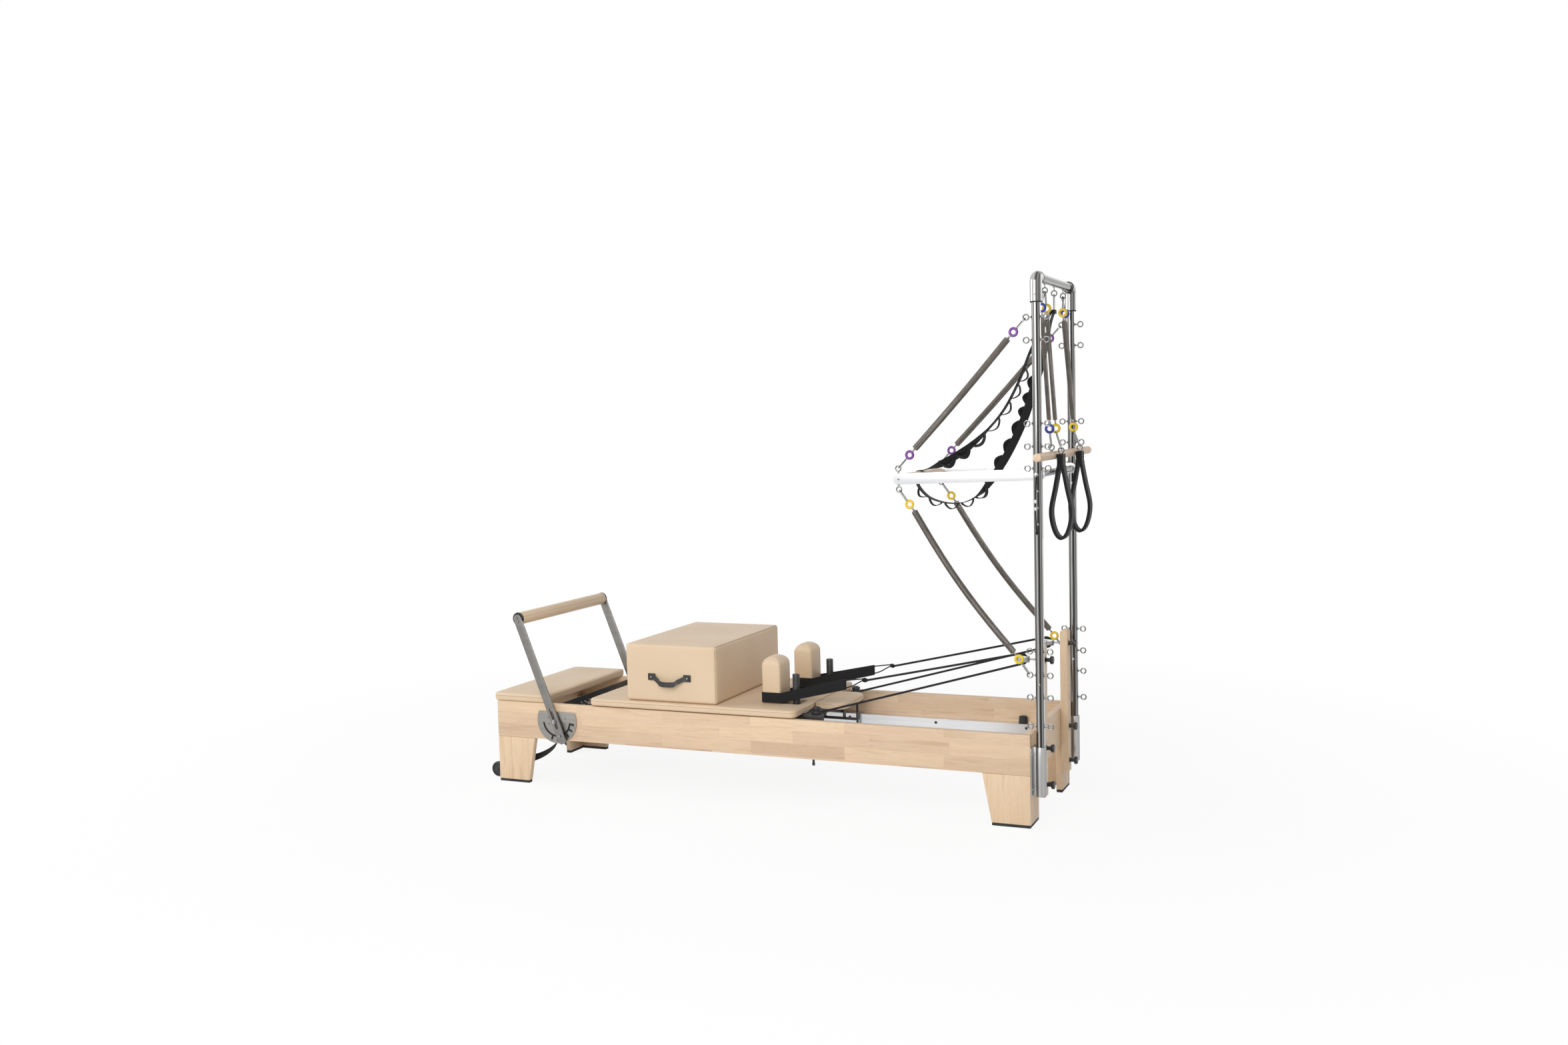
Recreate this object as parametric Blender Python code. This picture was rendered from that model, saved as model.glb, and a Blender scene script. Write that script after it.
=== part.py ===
"""Pilates reformer with a tower, in metres with +Z up.

The reformer lies along X: the foot end is at low X, the tower at high X.
Places along X are measured from the foot end's outer face, places along Y from the
centre plane, and heights from the floor. One empty shifts all of it so that the
world origin is under the middle of the whole object.
"""
import math

import bmesh
import bpy
from mathutils import Matrix, Vector

# Clearances, and how far fixed pieces of one node run into each other
GAP = 0.0003
FUSE = 0.001
RUNNING_CLEARANCE = 0.0006

# Wooden frame
FRAME_LENGTH = 2.504
FRAME_WIDTH = 0.725
RAIL_TOP = 0.377
RAIL_HEIGHT = 0.165
BOARD = 0.028
FOOT_THICKNESS = 0.012
FOOT_INSET = 0.001
LEG_WIDTH_TOP = 0.197
LEG_WIDTH_FOOT = 0.160
LEG_END_WIDTH = 0.1445

# Running tracks and stoppers
TRACK_WIDTH = 0.040
TRACK_HEIGHT = 0.042
TRACK_TOP = 0.274
TRACK_WALL = 0.003
TRACK_BOLT_RADIUS = 0.006
TRACK_BOLT_HEAD = 0.003
TRACK_BOLT_DROP = 0.0175
TRACK_BOLT_FIRST = 0.246
TRACK_BOLT_FROM_END = 0.1755
TRACK_BOLT_COUNT = 6
STOPPER_FROM_END = 0.194
STOPPER_RADIUS = 0.0225
STOPPER_TOP_RADIUS = 0.018
STOPPER_HEIGHT = 0.032

# Foot platform and spring bar
PLATFORM_START = -0.022
PLATFORM_LENGTH = 0.284
PLATFORM_THICKNESS = 0.039
PAD_CORNER = 0.030
PAD_EDGE = 0.008
SPRING_BAR_X = 0.315
SPRING_BAR_DEPTH = 0.140
SPRING_BAR_WALL = 0.005
SPRING_COUNT = 5
SPRING_SPACING = 0.075
HOOK_DROP = 0.0382
SPRING_BAR_DROP = 0.004
HOOK_RADIUS = 0.0035
HOOK_RING = 0.009
HOOK_NECK = 0.012
CARRIAGE_SPRING_RADIUS = 0.012
SPRING_PLATE = 0.006

# Foot bar and its gear plates
PIVOT_X = 0.3215
PIVOT_Z = 0.3005
PLATE_RADIUS = 0.103
PLATE_TOP = 0.0425
PLATE_THICKNESS = 0.004
SLOT_RADIUS = 0.069
SLOT_WIDTH = 0.0095
SLOT_START = 187
NOTCH_DEPTH = 0.0185
NOTCH_COUNT = 6
NOTCH_STEP = 20
NOTCH_IN_USE = 2
BAR_ANGLE = 111.3
BAR_REACH = 0.498
ARM_WIDTH = 0.040
ARM_THICKNESS = 0.009
ARM_STANDOFF = 0.009
ARM_TAIL = 0.088
PIVOT_BOLT_RADIUS = 0.006
PIVOT_HEAD_RADIUS = 0.011
PIVOT_HEAD = 0.005
ARM_SLOT_UP = 0.058
ARM_SLOT_DOWN = 0.030
LOCK_PIN_RADIUS = 0.0040
ROLLER_RADIUS = 0.028
ROLLER_CAP = 0.004
ROLLER_EDGE = 0.003
PLATE_SCREW_RADIUS = 0.0045
PLATE_SCREW_HEAD = 0.002
PLATE_SCREW_X = 0.043
PLATE_SCREW_Z = 0.0145

# Carriage
BED_START = 0.490
BED_LENGTH = 1.004
BED_THICKNESS = 0.034
BED_LIFT = 0.0035
BED_HOLE_START = 1.325
BED_HOLE_END = 1.459
BED_HOLE_WIDTH = 0.105
BED_HOLE_OUTER_Y = 0.2275
BEAM_Y = 0.2425
BEAM_WIDTH = 0.026
BEAM_HEIGHT = 0.037
BEAM_START = 0.510
BEAM_END = 1.578
CROSS_BAR_X = (0.525, 1.500)
CROSS_BAR_WIDTH = 0.030
SOCKET_PLATE = 0.004
WHEEL_RADIUS = 0.022
WHEEL_WIDTH = 0.018
WHEEL_X = (0.600, 1.450)
AXLE_RADIUS = 0.005
HEADREST_GAP = 0.0045
HEADREST_LENGTH = 0.1385
HEADREST_WIDTH = 0.272
HEADREST_THICKNESS = 0.033
HEADREST_CORNER = 0.045
HINGE_DEPTH = 0.004
BRACKET_DROP = 0.030
BRACKET_REACH = 0.155
BRACKET_LIP = 0.036
BRACKET_WIDTH = 0.032
PROP_REACH = 0.088
REST_X = 1.292
REST_DEPTH = 0.087
REST_Y = 0.1815
REST_WIDTH = 0.120
REST_HEIGHT = 0.2035
REST_STEM_DEPTH = 0.020
REST_STEM_WIDTH = 0.060
REST_STEM_DROP = 0.030
REST_CORNER = 0.040
PEG_X = 1.438
PEG_Y = 0.200
PEG_RADIUS = 0.0155
PEG_TOP = 0.543
CLEAT_X = 1.548
CLEAT_RADIUS = 0.022
CLEAT_HEIGHT = 0.034
DROP_PIN_X = 1.541
DROP_PIN_Y = 0.2725
DROP_PIN_BOTTOM = 0.164
DROP_PIN_RADIUS = 0.006

# Hand straps, ropes and pulleys
STRAP_WIDTH = 0.045
STRAP_THICKNESS = 0.003
STRAP_END_X = 1.662
STRAP_END_Z = 0.505
KNOT_X = 1.748
KNOT_Z = 0.528
KNOT_RADIUS = 0.011
KNOT_LENGTH = 0.020
TIE_RADIUS = 0.003
ROPE_RADIUS = 0.0042
SHEAVE_FROM_END = 0.064
SHEAVE_Z = 0.657
SHEAVE_RADIUS = 0.0155
SHEAVE_WIDTH = 0.012
SHEAVE_GROOVE = 0.003
BLOCK_WALL = 0.003
BLOCK_LENGTH = 0.046
BLOCK_HEIGHT = 0.031
SHANK_RADIUS = 0.004

# Sitting box
BOX_START = 0.677
BOX_LENGTH = 0.445
BOX_WIDTH = 0.691
BOX_HEIGHT = 0.2565
BOX_EDGE = 0.010
HANDLE_X = 0.896
HANDLE_SPAN = 0.178
HANDLE_DROP = 0.146
HANDLE_SAG = 0.036
HANDLE_WIDTH = 0.022
HANDLE_THICKNESS = 0.004

# Tower
RISER_Y = 0.220
RISER_WIDTH = 0.060
RISER_THICKNESS = 0.032
RISER_BOTTOM = 0.100
RISER_TOP = 0.716
RISER_ROUND = 0.012
CLAMP_HEIGHTS = (0.147, 0.297)
KNOB_STEM_RADIUS = 0.008
KNOB_RADIUS = 0.0165
KNOB_LENGTH = 0.034
KNOB_DISC = 0.014
POST_Y = 0.318
POST_RADIUS = 0.018
SLEEVE_RADIUS = 0.0215
SLEEVE_STANDOFF = 0.0072
SLEEVE_BOTTOM = 0.126
SLEEVE_TOP = 0.324
FLANGE_THICKNESS = 0.0045
FLANGE_WIDTH = 0.084
SLEEVE_SCREW_Y = 0.033
SLEEVE_SCREW_HEIGHTS = (0.155, 0.295)
TOWER_TOP = 2.200
ELBOW_RADIUS = 0.0235
ELBOW_DROP = 0.122
ELBOW_REACH = 0.050
ELBOW_BEND = 0.028
EYE_HEIGHTS = (0.406, 0.521, 0.611, 0.706, 1.431, 1.517, 1.607, 1.932, 2.021)
EYE_OFFSET = 0.0405
EYE_RING = 0.011
EYE_WIRE = 0.0028
EYE_SIDES = 6
TOP_EYE_Y = 0.1675
TOP_EYE_DROP = 0.044
PIN_HOLE_HEIGHTS = (0.574, 1.2115, 1.2765, 1.3415)
PIN_RADIUS = 0.0045
PIN_HEAD = 0.012

# Push-through bar
PTB_Z = 1.4065
PTB_REACH = 0.583
PTB_DROOP = 1.52
PTB_ARM_HEIGHT = 0.045
PTB_ARM_THICKNESS = 0.008
PTB_SIDE_CLEARANCE = 0.002
PTB_TUBE_RADIUS = 0.014
PTB_GRIP_RADIUS = 0.020
PTB_EYE_OUT = 0.0205
LANYARD_BOTTOM = 1.172
LANYARD_RADIUS = 0.0025
LANYARD_SWAY = 0.004

# Springs on the tower
RING_RADIUS = 0.0145
RING_WIRE = 0.0045
RING_STEM = 0.014
RING_STEM_RADIUS = 0.004
HOOK_HALF_WIDTH = 0.0085
HOOK_WIRE = 0.0020
HOOK_SEAT = 0.0006
LONG_SPRING_RADIUS = 0.0140
SHORT_SPRING_RADIUS = 0.0095
SPRING_WIRE = 0.0022
LONG_SPRING_CURLS = 5
SHORT_SPRING_CURLS = 3
CURL_POINTS = 8
RING_TO_EYE = 0.075
LONG_SPRING_EYE_HIGH = 2.021
LONG_SPRING_EYE_LOW = 0.611

# Roll-down bar and foot loops
DOWEL_RADIUS = 0.0165
DOWEL_LENGTH = 0.960
DOWEL_Z = 1.478
DOWEL_EYE_Y = 0.232
LOOP_TOP_Z = 1.497
LOOP_Y = (-0.200, 0.160)
HANGER_TOP_Z = 2.062
HANGER_Z = 1.584
BLUE_TOP_Y = 0.214
BLUE_LOW_Y = 0.225
YELLOW_TOP_Y = 0.149
YELLOW_LOW_Y = 0.1675
LOOP_THICKNESS = 0.012
LOOP_STRAP_WIDTH = 0.035
LOOP_HEIGHT = 0.350
LOOP_HALF_WIDTH = 0.040
LOOP_NECK = 0.060

# Black strap with hand loops
LOOP_STRAP_THICKNESS = 0.003
LOOP_STRAP_BAND = 0.038
SMALL_LOOP_BULGE = 0.030
STRAP_TOP_Z = 2.066
DOWN_RUN = ((0.0375, 2.020), (0.0995, 1.904), (0.1525, 1.775), (0.2335, 1.639), (0.3645, 1.513),
            (0.4975, 1.437))
UP_RUN = ((0.5915, 1.345), (0.5495, 1.301), (0.4825, 1.277), (0.4095, 1.274), (0.3475, 1.296),
          (0.2925, 1.345), (0.2045, 1.474), (0.1315, 1.620), (0.0925, 1.736), (0.0475, 1.880),
          (0.0135, 2.020))

# Transport wheels and the strap under the foot end
TRANSPORT_RADIUS = 0.036
TRANSPORT_WIDTH = 0.022
TRANSPORT_Y = 0.3125
TRANSPORT_Z = 0.041
TRANSPORT_GAP = 0.0015
BRACKET_WALL = 0.003
CARRY_STRAP_Y = 0.2625
CARRY_STRAP_WIDTH = 0.045
CARRY_STRAP_THICKNESS = 0.003
CARRY_STRAP_ROUTE = ((0.0303, 0.086), (0.080, 0.088), (0.140, 0.099), (0.205, 0.130), (0.252, 0.170),
                     (0.268, 0.2095),
                     (0.290, 0.245), (0.318, 0.268), (0.350, 0.2725))

# Places that follow from the sizes above
RAIL_BOTTOM = RAIL_TOP - RAIL_HEIGHT
HALF_WIDTH = FRAME_WIDTH / 2
INNER_Y = HALF_WIDTH - BOARD - GAP
TRACK_INNER_Y = INNER_Y - TRACK_WIDTH
BED_BOTTOM = RAIL_TOP + BED_LIFT
BED_TOP = BED_BOTTOM + BED_THICKNESS
BED_END = BED_START + BED_LENGTH
HOOK_Z = BED_BOTTOM - HOOK_DROP
TRACK_BOLT_SPACING = (FRAME_LENGTH - TRACK_BOLT_FIRST - TRACK_BOLT_FROM_END) / (TRACK_BOLT_COUNT - 1)
STOPPER_X = FRAME_LENGTH - STOPPER_FROM_END
SHEAVE_X = FRAME_LENGTH - SHEAVE_FROM_END
POST_X = FRAME_LENGTH + GAP + FLANGE_THICKNESS + SLEEVE_STANDOFF + SLEEVE_RADIUS
RISER_FRONT = FRAME_LENGTH + GAP
RISER_BACK = RISER_FRONT + RISER_THICKNESS
TOP_BAR_Z = TOWER_TOP - ELBOW_RADIUS
ARM_INNER_Y = HALF_WIDTH + GAP + PLATE_THICKNESS + ARM_STANDOFF
ARM_MIDDLE_Y = ARM_INNER_Y + ARM_THICKNESS / 2
PTB_ARM_OUTER_Y = POST_Y - POST_RADIUS - PTB_SIDE_CLEARANCE
PTB_ARM_Y = PTB_ARM_OUTER_Y - PTB_ARM_THICKNESS / 2
DOWEL_X = POST_X + POST_RADIUS + DOWEL_RADIUS + RUNNING_CLEARANCE
LOOP_X = DOWEL_X + DOWEL_RADIUS + LOOP_THICKNESS + 2 * RUNNING_CLEARANCE + 0.002
TRANSPORT_X = -TRANSPORT_RADIUS - TRANSPORT_GAP
OBJECT_START = TRANSPORT_X - TRANSPORT_RADIUS
OBJECT_END = LOOP_X + LOOP_HALF_WIDTH + LOOP_THICKNESS / 2
ORIGIN_X = (OBJECT_START + OBJECT_END) / 2
SIDES = {"near": -1, "far": 1}

# Finishes: colour, roughness, metallic
FINISHES = {
    "maple": ((0.78, 0.60, 0.40), 0.45, 0.0),
    "beech": ((0.80, 0.64, 0.46), 0.40, 0.0),
    "beige_leather": ((0.72, 0.58, 0.42), 0.50, 0.0),
    "black_rubber": ((0.02, 0.02, 0.02), 0.80, 0.0),
    "black_plastic": ((0.02, 0.02, 0.022), 0.40, 0.0),
    "black_webbing": ((0.015, 0.015, 0.015), 0.85, 0.0),
    "black_steel": ((0.02, 0.02, 0.02), 0.45, 0.6),
    "brushed_steel": ((0.52, 0.50, 0.46), 0.35, 1.0),
    "polished_steel": ((0.70, 0.70, 0.72), 0.12, 1.0),
    "aluminium": ((0.80, 0.81, 0.83), 0.35, 1.0),
    "spring_steel": ((0.30, 0.28, 0.26), 0.35, 1.0),
    "yellow_paint": ((0.90, 0.72, 0.03), 0.35, 0.0),
    "blue_paint": ((0.03, 0.07, 0.40), 0.35, 0.0),
    "purple_paint": ((0.25, 0.06, 0.36), 0.35, 0.0),
}


def clear_scene():
    """Remove whatever the scene starts with."""
    for obj in list(bpy.data.objects):
        bpy.data.objects.remove(obj, do_unlink=True)


def finish_material(name, finish):
    """Principled material of one sub-part, in one of the listed finishes."""
    colour, roughness, metallic = FINISHES[finish]
    material = bpy.data.materials.new(name)
    material.use_nodes = True
    shader = material.node_tree.nodes["Principled BSDF"]
    shader.inputs["Base Color"].default_value = (*colour, 1.0)
    shader.inputs["Roughness"].default_value = roughness
    shader.inputs["Metallic"].default_value = metallic
    material.diffuse_color = (*colour, 1.0)
    return material


def add_node(name, mesh, finish, parent=None, place=(0, 0, 0), turn=(0, 0, 0)):
    """Link one named sub-part with its own material."""
    obj = bpy.data.objects.new(name, mesh)
    obj.data.name = name
    obj.data.materials.clear()
    obj.data.materials.append(finish_material(name, finish))
    bpy.context.collection.objects.link(obj)
    obj.parent = parent if parent else root
    obj.location = place
    obj.rotation_euler = turn
    return obj


def add_pivot(name, place, turn=(0, 0, 0)):
    """Empty on a joint's axis, which carries the pieces that move with it."""
    pivot = bpy.data.objects.new(name, None)
    bpy.context.collection.objects.link(pivot)
    pivot.parent = root
    pivot.location = place
    pivot.rotation_euler = turn
    return pivot


def shaped(*makers):
    """Mesh of the solids that the makers add to one bmesh, faces out."""
    bm = bmesh.new()
    for maker in makers:
        maker(bm)
    bmesh.ops.recalc_face_normals(bm, faces=bm.faces)
    mesh = bpy.data.meshes.new("solid")
    bm.to_mesh(mesh)
    bm.free()
    return mesh


def boolean(base_mesh, tool_mesh, operation):
    """Mesh of the base with the tool joined to it or cut from it."""
    base = bpy.data.objects.new("base", base_mesh)
    tool = bpy.data.objects.new("tool", tool_mesh)
    for obj in (base, tool):
        bpy.context.collection.objects.link(obj)
    modifier = base.modifiers.new("Boolean", "BOOLEAN")
    modifier.operation = operation
    modifier.solver = "EXACT"
    modifier.object = tool
    depsgraph = bpy.context.evaluated_depsgraph_get()
    result = bpy.data.meshes.new_from_object(base.evaluated_get(depsgraph))
    bpy.data.objects.remove(base)
    bpy.data.objects.remove(tool)
    return result


def union(*meshes):
    """One mesh of several solids joined."""
    result = meshes[0]
    for mesh in meshes[1:]:
        result = boolean(result, mesh, "UNION")
    return result


def cut(mesh, *tools):
    """Mesh with the tools cut out of it, one after the other."""
    for tool in tools:
        mesh = boolean(mesh, tool, "DIFFERENCE")
    return mesh


def on_axis(axis, a, b, along):
    """Point from two in-plane values and one along the axis."""
    return {"X": (along, a, b), "Y": (a, along, b), "Z": (a, b, along)}[axis]


def prism(outline, axis, start, end):
    """Solid between two planes; the outline's pairs are the other two axes in order."""
    def maker(bm):
        ring = [bm.verts.new(on_axis(axis, a, b, start)) for a, b in outline]
        face = bm.faces.new(ring)
        grown = bmesh.ops.extrude_face_region(bm, geom=[face])["geom"]
        shift = Vector(on_axis(axis, 0, 0, end - start))
        bmesh.ops.translate(bm, verts=[v for v in grown if isinstance(v, bmesh.types.BMVert)], vec=shift)
    return maker


def block(x, y, z):
    """Box between pairs of limits."""
    corners = [(x[0], y[0]), (x[1], y[0]), (x[1], y[1]), (x[0], y[1])]
    return prism(corners, "Z", z[0], z[1])


def facing(direction):
    """Rotation that takes +Z to a direction."""
    return Vector((0, 0, 1)).rotation_difference(Vector(direction)).to_matrix().to_4x4()


def rod(start, end, radius, sides=12, end_radius=None):
    """Round bar or cone between two points."""
    def maker(bm):
        a, b = Vector(start), Vector(end)
        matrix = Matrix.Translation((a + b) / 2) @ facing(b - a)
        bmesh.ops.create_cone(bm, cap_ends=True, segments=sides, radius1=radius,
                              radius2=radius if end_radius is None else end_radius,
                              depth=(b - a).length, matrix=matrix)
    return maker


def turned(profile, centre, axis, sides=16):
    """Ring with a bore, turned about an axis from (radius, along) pairs in a loop."""
    def maker(bm):
        matrix = Matrix.Translation(Vector(centre)) @ facing(axis)
        rings = []
        for step in range(sides):
            angle = 2 * math.pi * step / sides
            spot = [Vector((r * math.cos(angle), r * math.sin(angle), along)) for r, along in profile]
            rings.append([bm.verts.new(matrix @ v) for v in spot])
        for here, there in zip(rings, rings[1:] + rings[:1]):
            for i in range(len(profile)):
                j = (i + 1) % len(profile)
                bm.faces.new((here[i], here[j], there[j], there[i]))
    return maker


def tube_loop(points, radius, sides, closed=True):
    """Tube along a polyline, with flat caps where it is open."""
    def maker(bm):
        path = [Vector(p) for p in points]
        count = len(path)
        rings = []
        normal = None
        for i, point in enumerate(path):
            if closed:
                along = path[(i + 1) % count] - path[i - 1]
            else:
                along = path[min(i + 1, count - 1)] - path[max(i - 1, 0)]
            along.normalize()
            if normal is None:
                side = Vector((0, 1, 0)) if abs(along.y) < 0.9 else Vector((1, 0, 0))
                normal = (side - along * side.dot(along)).normalized()
            else:
                normal = (normal - along * normal.dot(along)).normalized()
            across = along.cross(normal)
            rings.append([bm.verts.new(point + radius * (math.cos(t) * normal + math.sin(t) * across))
                          for t in (2 * math.pi * k / sides for k in range(sides))])
        pairs = list(zip(rings, rings[1:]))
        if closed:
            pairs.append((rings[-1], rings[0]))
        for here, there in pairs:
            for i in range(sides):
                j = (i + 1) % sides
                bm.faces.new((here[i], here[j], there[j], there[i]))
        if not closed:
            bm.faces.new(rings[0])
            bm.faces.new(rings[-1])
    return maker


def band(points, width, thickness, flat, closed=False):
    """Strap along a polyline: flat is the direction of its width."""
    def maker(bm):
        path = [Vector(p) for p in points]
        count = len(path)
        broad = Vector(flat).normalized() * width / 2
        rings = []
        for i, point in enumerate(path):
            if closed:
                along = path[(i + 1) % count] - path[i - 1]
            else:
                along = path[min(i + 1, count - 1)] - path[max(i - 1, 0)]
            thin = along.cross(broad).normalized() * thickness / 2
            rings.append([bm.verts.new(point + a * thin + b * broad)
                          for a, b in ((1, 1), (1, -1), (-1, -1), (-1, 1))])
        pairs = list(zip(rings, rings[1:]))
        if closed:
            pairs.append((rings[-1], rings[0]))
        for here, there in pairs:
            for i in range(4):
                j = (i + 1) % 4
                bm.faces.new((here[i], here[j], there[j], there[i]))
        if not closed:
            bm.faces.new(rings[0])
            bm.faces.new(rings[-1])
    return maker


def arc(centre, radius, start, end, steps):
    """Points on an arc between two angles in degrees."""
    spots = []
    for step in range(steps + 1):
        angle = math.radians(start + (end - start) * step / steps)
        spots.append((centre[0] + radius * math.cos(angle), centre[1] + radius * math.sin(angle)))
    return spots


def rounded_rectangle(x, y, radii, steps=3):
    """Outline of a rectangle whose four corners, from low x and y on, have their own radii."""
    corners = ((x[0], y[0], 1, 1, 180), (x[1], y[0], -1, 1, 270), (x[1], y[1], -1, -1, 0),
               (x[0], y[1], 1, -1, 90))
    outline = []
    for (cx, cy, sx, sy, start), radius in zip(corners, radii):
        outline += arc((cx + sx * radius, cy + sy * radius), radius, start, start + 90, steps)
    return outline


def cushion(outline, bottom, thickness, edge, crown):
    """Pad with a drawn-in edge all round and a crown on top."""
    def maker(bm):
        middle = Vector((sum(p[0] for p in outline), sum(p[1] for p in outline))) / len(outline)
        reach = max((Vector(p) - middle).length for p in outline)

        def ring(inset, height):
            spots = []
            for p in outline:
                away = Vector(p) - middle
                away *= (away.length - inset) / away.length
                spots.append(bm.verts.new((middle.x + away.x, middle.y + away.y, height)))
            return spots
        side = edge * 0.5
        levels = [(edge * 0.7, bottom), (0.0, bottom + side), (0.0, bottom + thickness - side - crown),
                  (edge * 0.5, bottom + thickness - crown * 0.9), (reach * 0.45, bottom + thickness)]
        rings = [ring(inset, height) for inset, height in levels]
        for here, there in zip(rings, rings[1:]):
            for i in range(len(outline)):
                j = (i + 1) % len(outline)
                bm.faces.new((here[i], here[j], there[j], there[i]))
        bm.faces.new(rings[0])
        bm.faces.new(rings[-1])
    return maker


def knob(x, y, z):
    """Mesh of a hand knob on a stem along +X."""
    stem_end = KNOB_LENGTH - KNOB_DISC
    mesh = union(shaped(rod((-FUSE, 0, 0), (stem_end + FUSE, 0, 0), KNOB_STEM_RADIUS, 8)),
                 shaped(rod((stem_end, 0, 0), (KNOB_LENGTH, 0, 0), KNOB_RADIUS, 12, KNOB_RADIUS * 0.85)))
    return moved(mesh, Matrix.Translation((x, y, z)))


def smooth(obj):
    """Shade a round sub-part smoothly."""
    obj.data.shade_smooth()
    obj.data.set_sharp_from_angle(angle=math.radians(40))


def moved(mesh, matrix):
    """The same mesh, carried to another place."""
    mesh.transform(matrix)
    return mesh


def build_frame():
    """Side rails, and the two ends: each a board with its legs, rubber feet and brackets."""
    for side, sign in SIDES.items():
        rail = shaped(block((0, FRAME_LENGTH), (sign * (HALF_WIDTH - BOARD), sign * HALF_WIDTH),
                            (RAIL_BOTTOM, RAIL_TOP)))
        add_node("side_rail_" + side, rail, "maple")
    for end, (start, way) in {"foot": (0.0, 1), "tower": (FRAME_LENGTH, -1)}.items():
        limits = (start, start + way * BOARD)
        pieces = [shaped(block(limits, (-INNER_Y, INNER_Y), (RAIL_BOTTOM, RAIL_TOP)))]
        for sign in SIDES.values():
            low = corner_plan(start, way, sign, LEG_WIDTH_FOOT, 0.0)
            high = corner_plan(start, way, sign, LEG_WIDTH_TOP, 0.0)
            pieces.append(shaped(lofted(low, high, FOOT_THICKNESS, RAIL_BOTTOM - GAP)))
            foot = corner_plan(start, way, sign, LEG_WIDTH_FOOT, FOOT_INSET)
            pieces.append(shaped(prism(foot, "Z", 0.0, FOOT_THICKNESS + FUSE)))
            tenon_x = (start + way * FUSE, start + way * (BOARD - FUSE))
            tenon_y = sorted((sign * (HALF_WIDTH - LEG_END_WIDTH + FUSE), sign * (INNER_Y - FUSE)))
            pieces.append(shaped(block(tenon_x, tenon_y, (RAIL_BOTTOM - 0.01, RAIL_BOTTOM + 0.01))))
            if end == "foot":
                pieces.append(wheel_bracket(sign))
        add_node("end_frame_" + end, union(*pieces), "maple")


def corner_plan(start, way, sign, width, inset):
    """L of a corner leg in plan, drawn in by an inset."""
    outer, inner = HALF_WIDTH - inset, HALF_WIDTH - BOARD + inset
    end = HALF_WIDTH - LEG_END_WIDTH + inset
    plan = ((inset, outer), (width - inset, outer), (width - inset, inner), (BOARD - inset, inner),
            (BOARD - inset, end), (inset, end))
    return [(start + way * a, sign * b) for a, b in plan]


def lofted(low_plan, high_plan, bottom, top):
    """Solid between two plans with the same number of corners."""
    def maker(bm):
        low = [bm.verts.new((x, y, bottom)) for x, y in low_plan]
        high = [bm.verts.new((x, y, top)) for x, y in high_plan]
        bm.faces.new(low)
        bm.faces.new(high)
        for i in range(len(low)):
            j = (i + 1) % len(low)
            bm.faces.new((low[i], low[j], high[j], high[i]))
    return maker


def wheel_bracket(sign):
    """Two cheeks and the axle that carry a transport wheel."""
    y = sign * TRANSPORT_Y
    inside = TRANSPORT_WIDTH / 2 + 0.002
    outline = [(FUSE, TRANSPORT_Z + 0.018), (FUSE, TRANSPORT_Z - 0.012), (TRANSPORT_X, TRANSPORT_Z - 0.012),
               (TRANSPORT_X - 0.010, TRANSPORT_Z), (TRANSPORT_X, TRANSPORT_Z + 0.012)]
    cheeks = []
    for way in (-1, 1):
        limits = sorted((y + way * inside, y + way * (inside + BRACKET_WALL)))
        cheeks.append(shaped(prism(outline, "Y", limits[0], limits[1])))
    axle = shaped(rod((TRANSPORT_X, y - inside - FUSE, TRANSPORT_Z),
                      (TRANSPORT_X, y + inside + FUSE, TRANSPORT_Z), AXLE_RADIUS, 8))
    return union(cheeks[0], axle, cheeks[1])


def build_tracks():
    """Aluminium channels that the carriage wheels roll on, with their bolts and stoppers."""
    start, end = BOARD + GAP, FRAME_LENGTH - BOARD - GAP
    low, wall = TRACK_TOP - TRACK_HEIGHT, TRACK_WALL
    for side, sign in SIDES.items():
        channel = ((INNER_Y, TRACK_TOP), (TRACK_INNER_Y, TRACK_TOP), (TRACK_INNER_Y, low), (INNER_Y, low),
                   (INNER_Y, low + wall), (TRACK_INNER_Y + wall, low + wall),
                   (TRACK_INNER_Y + wall, TRACK_TOP - wall), (INNER_Y, TRACK_TOP - wall))
        pieces = [shaped(prism([(sign * y, z) for y, z in channel], "X", start, end))]
        inside = sign * (TRACK_INNER_Y + FUSE)
        head = sign * (TRACK_INNER_Y - TRACK_BOLT_HEAD)
        for i in range(TRACK_BOLT_COUNT):
            x = TRACK_BOLT_FIRST + i * TRACK_BOLT_SPACING
            z = TRACK_TOP - TRACK_BOLT_DROP
            pieces.append(shaped(rod((x, inside, z), (x, head, z), TRACK_BOLT_RADIUS, 6)))
        middle = sign * (TRACK_INNER_Y + TRACK_WIDTH / 2)
        pieces.append(shaped(rod((STOPPER_X, middle, TRACK_TOP - FUSE),
                                 (STOPPER_X, middle, TRACK_TOP + STOPPER_HEIGHT),
                                 TRACK_WIDTH / 2 - GAP, 12, STOPPER_TOP_RADIUS)))
        add_node("track_" + side, union(*pieces), "aluminium")


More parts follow.
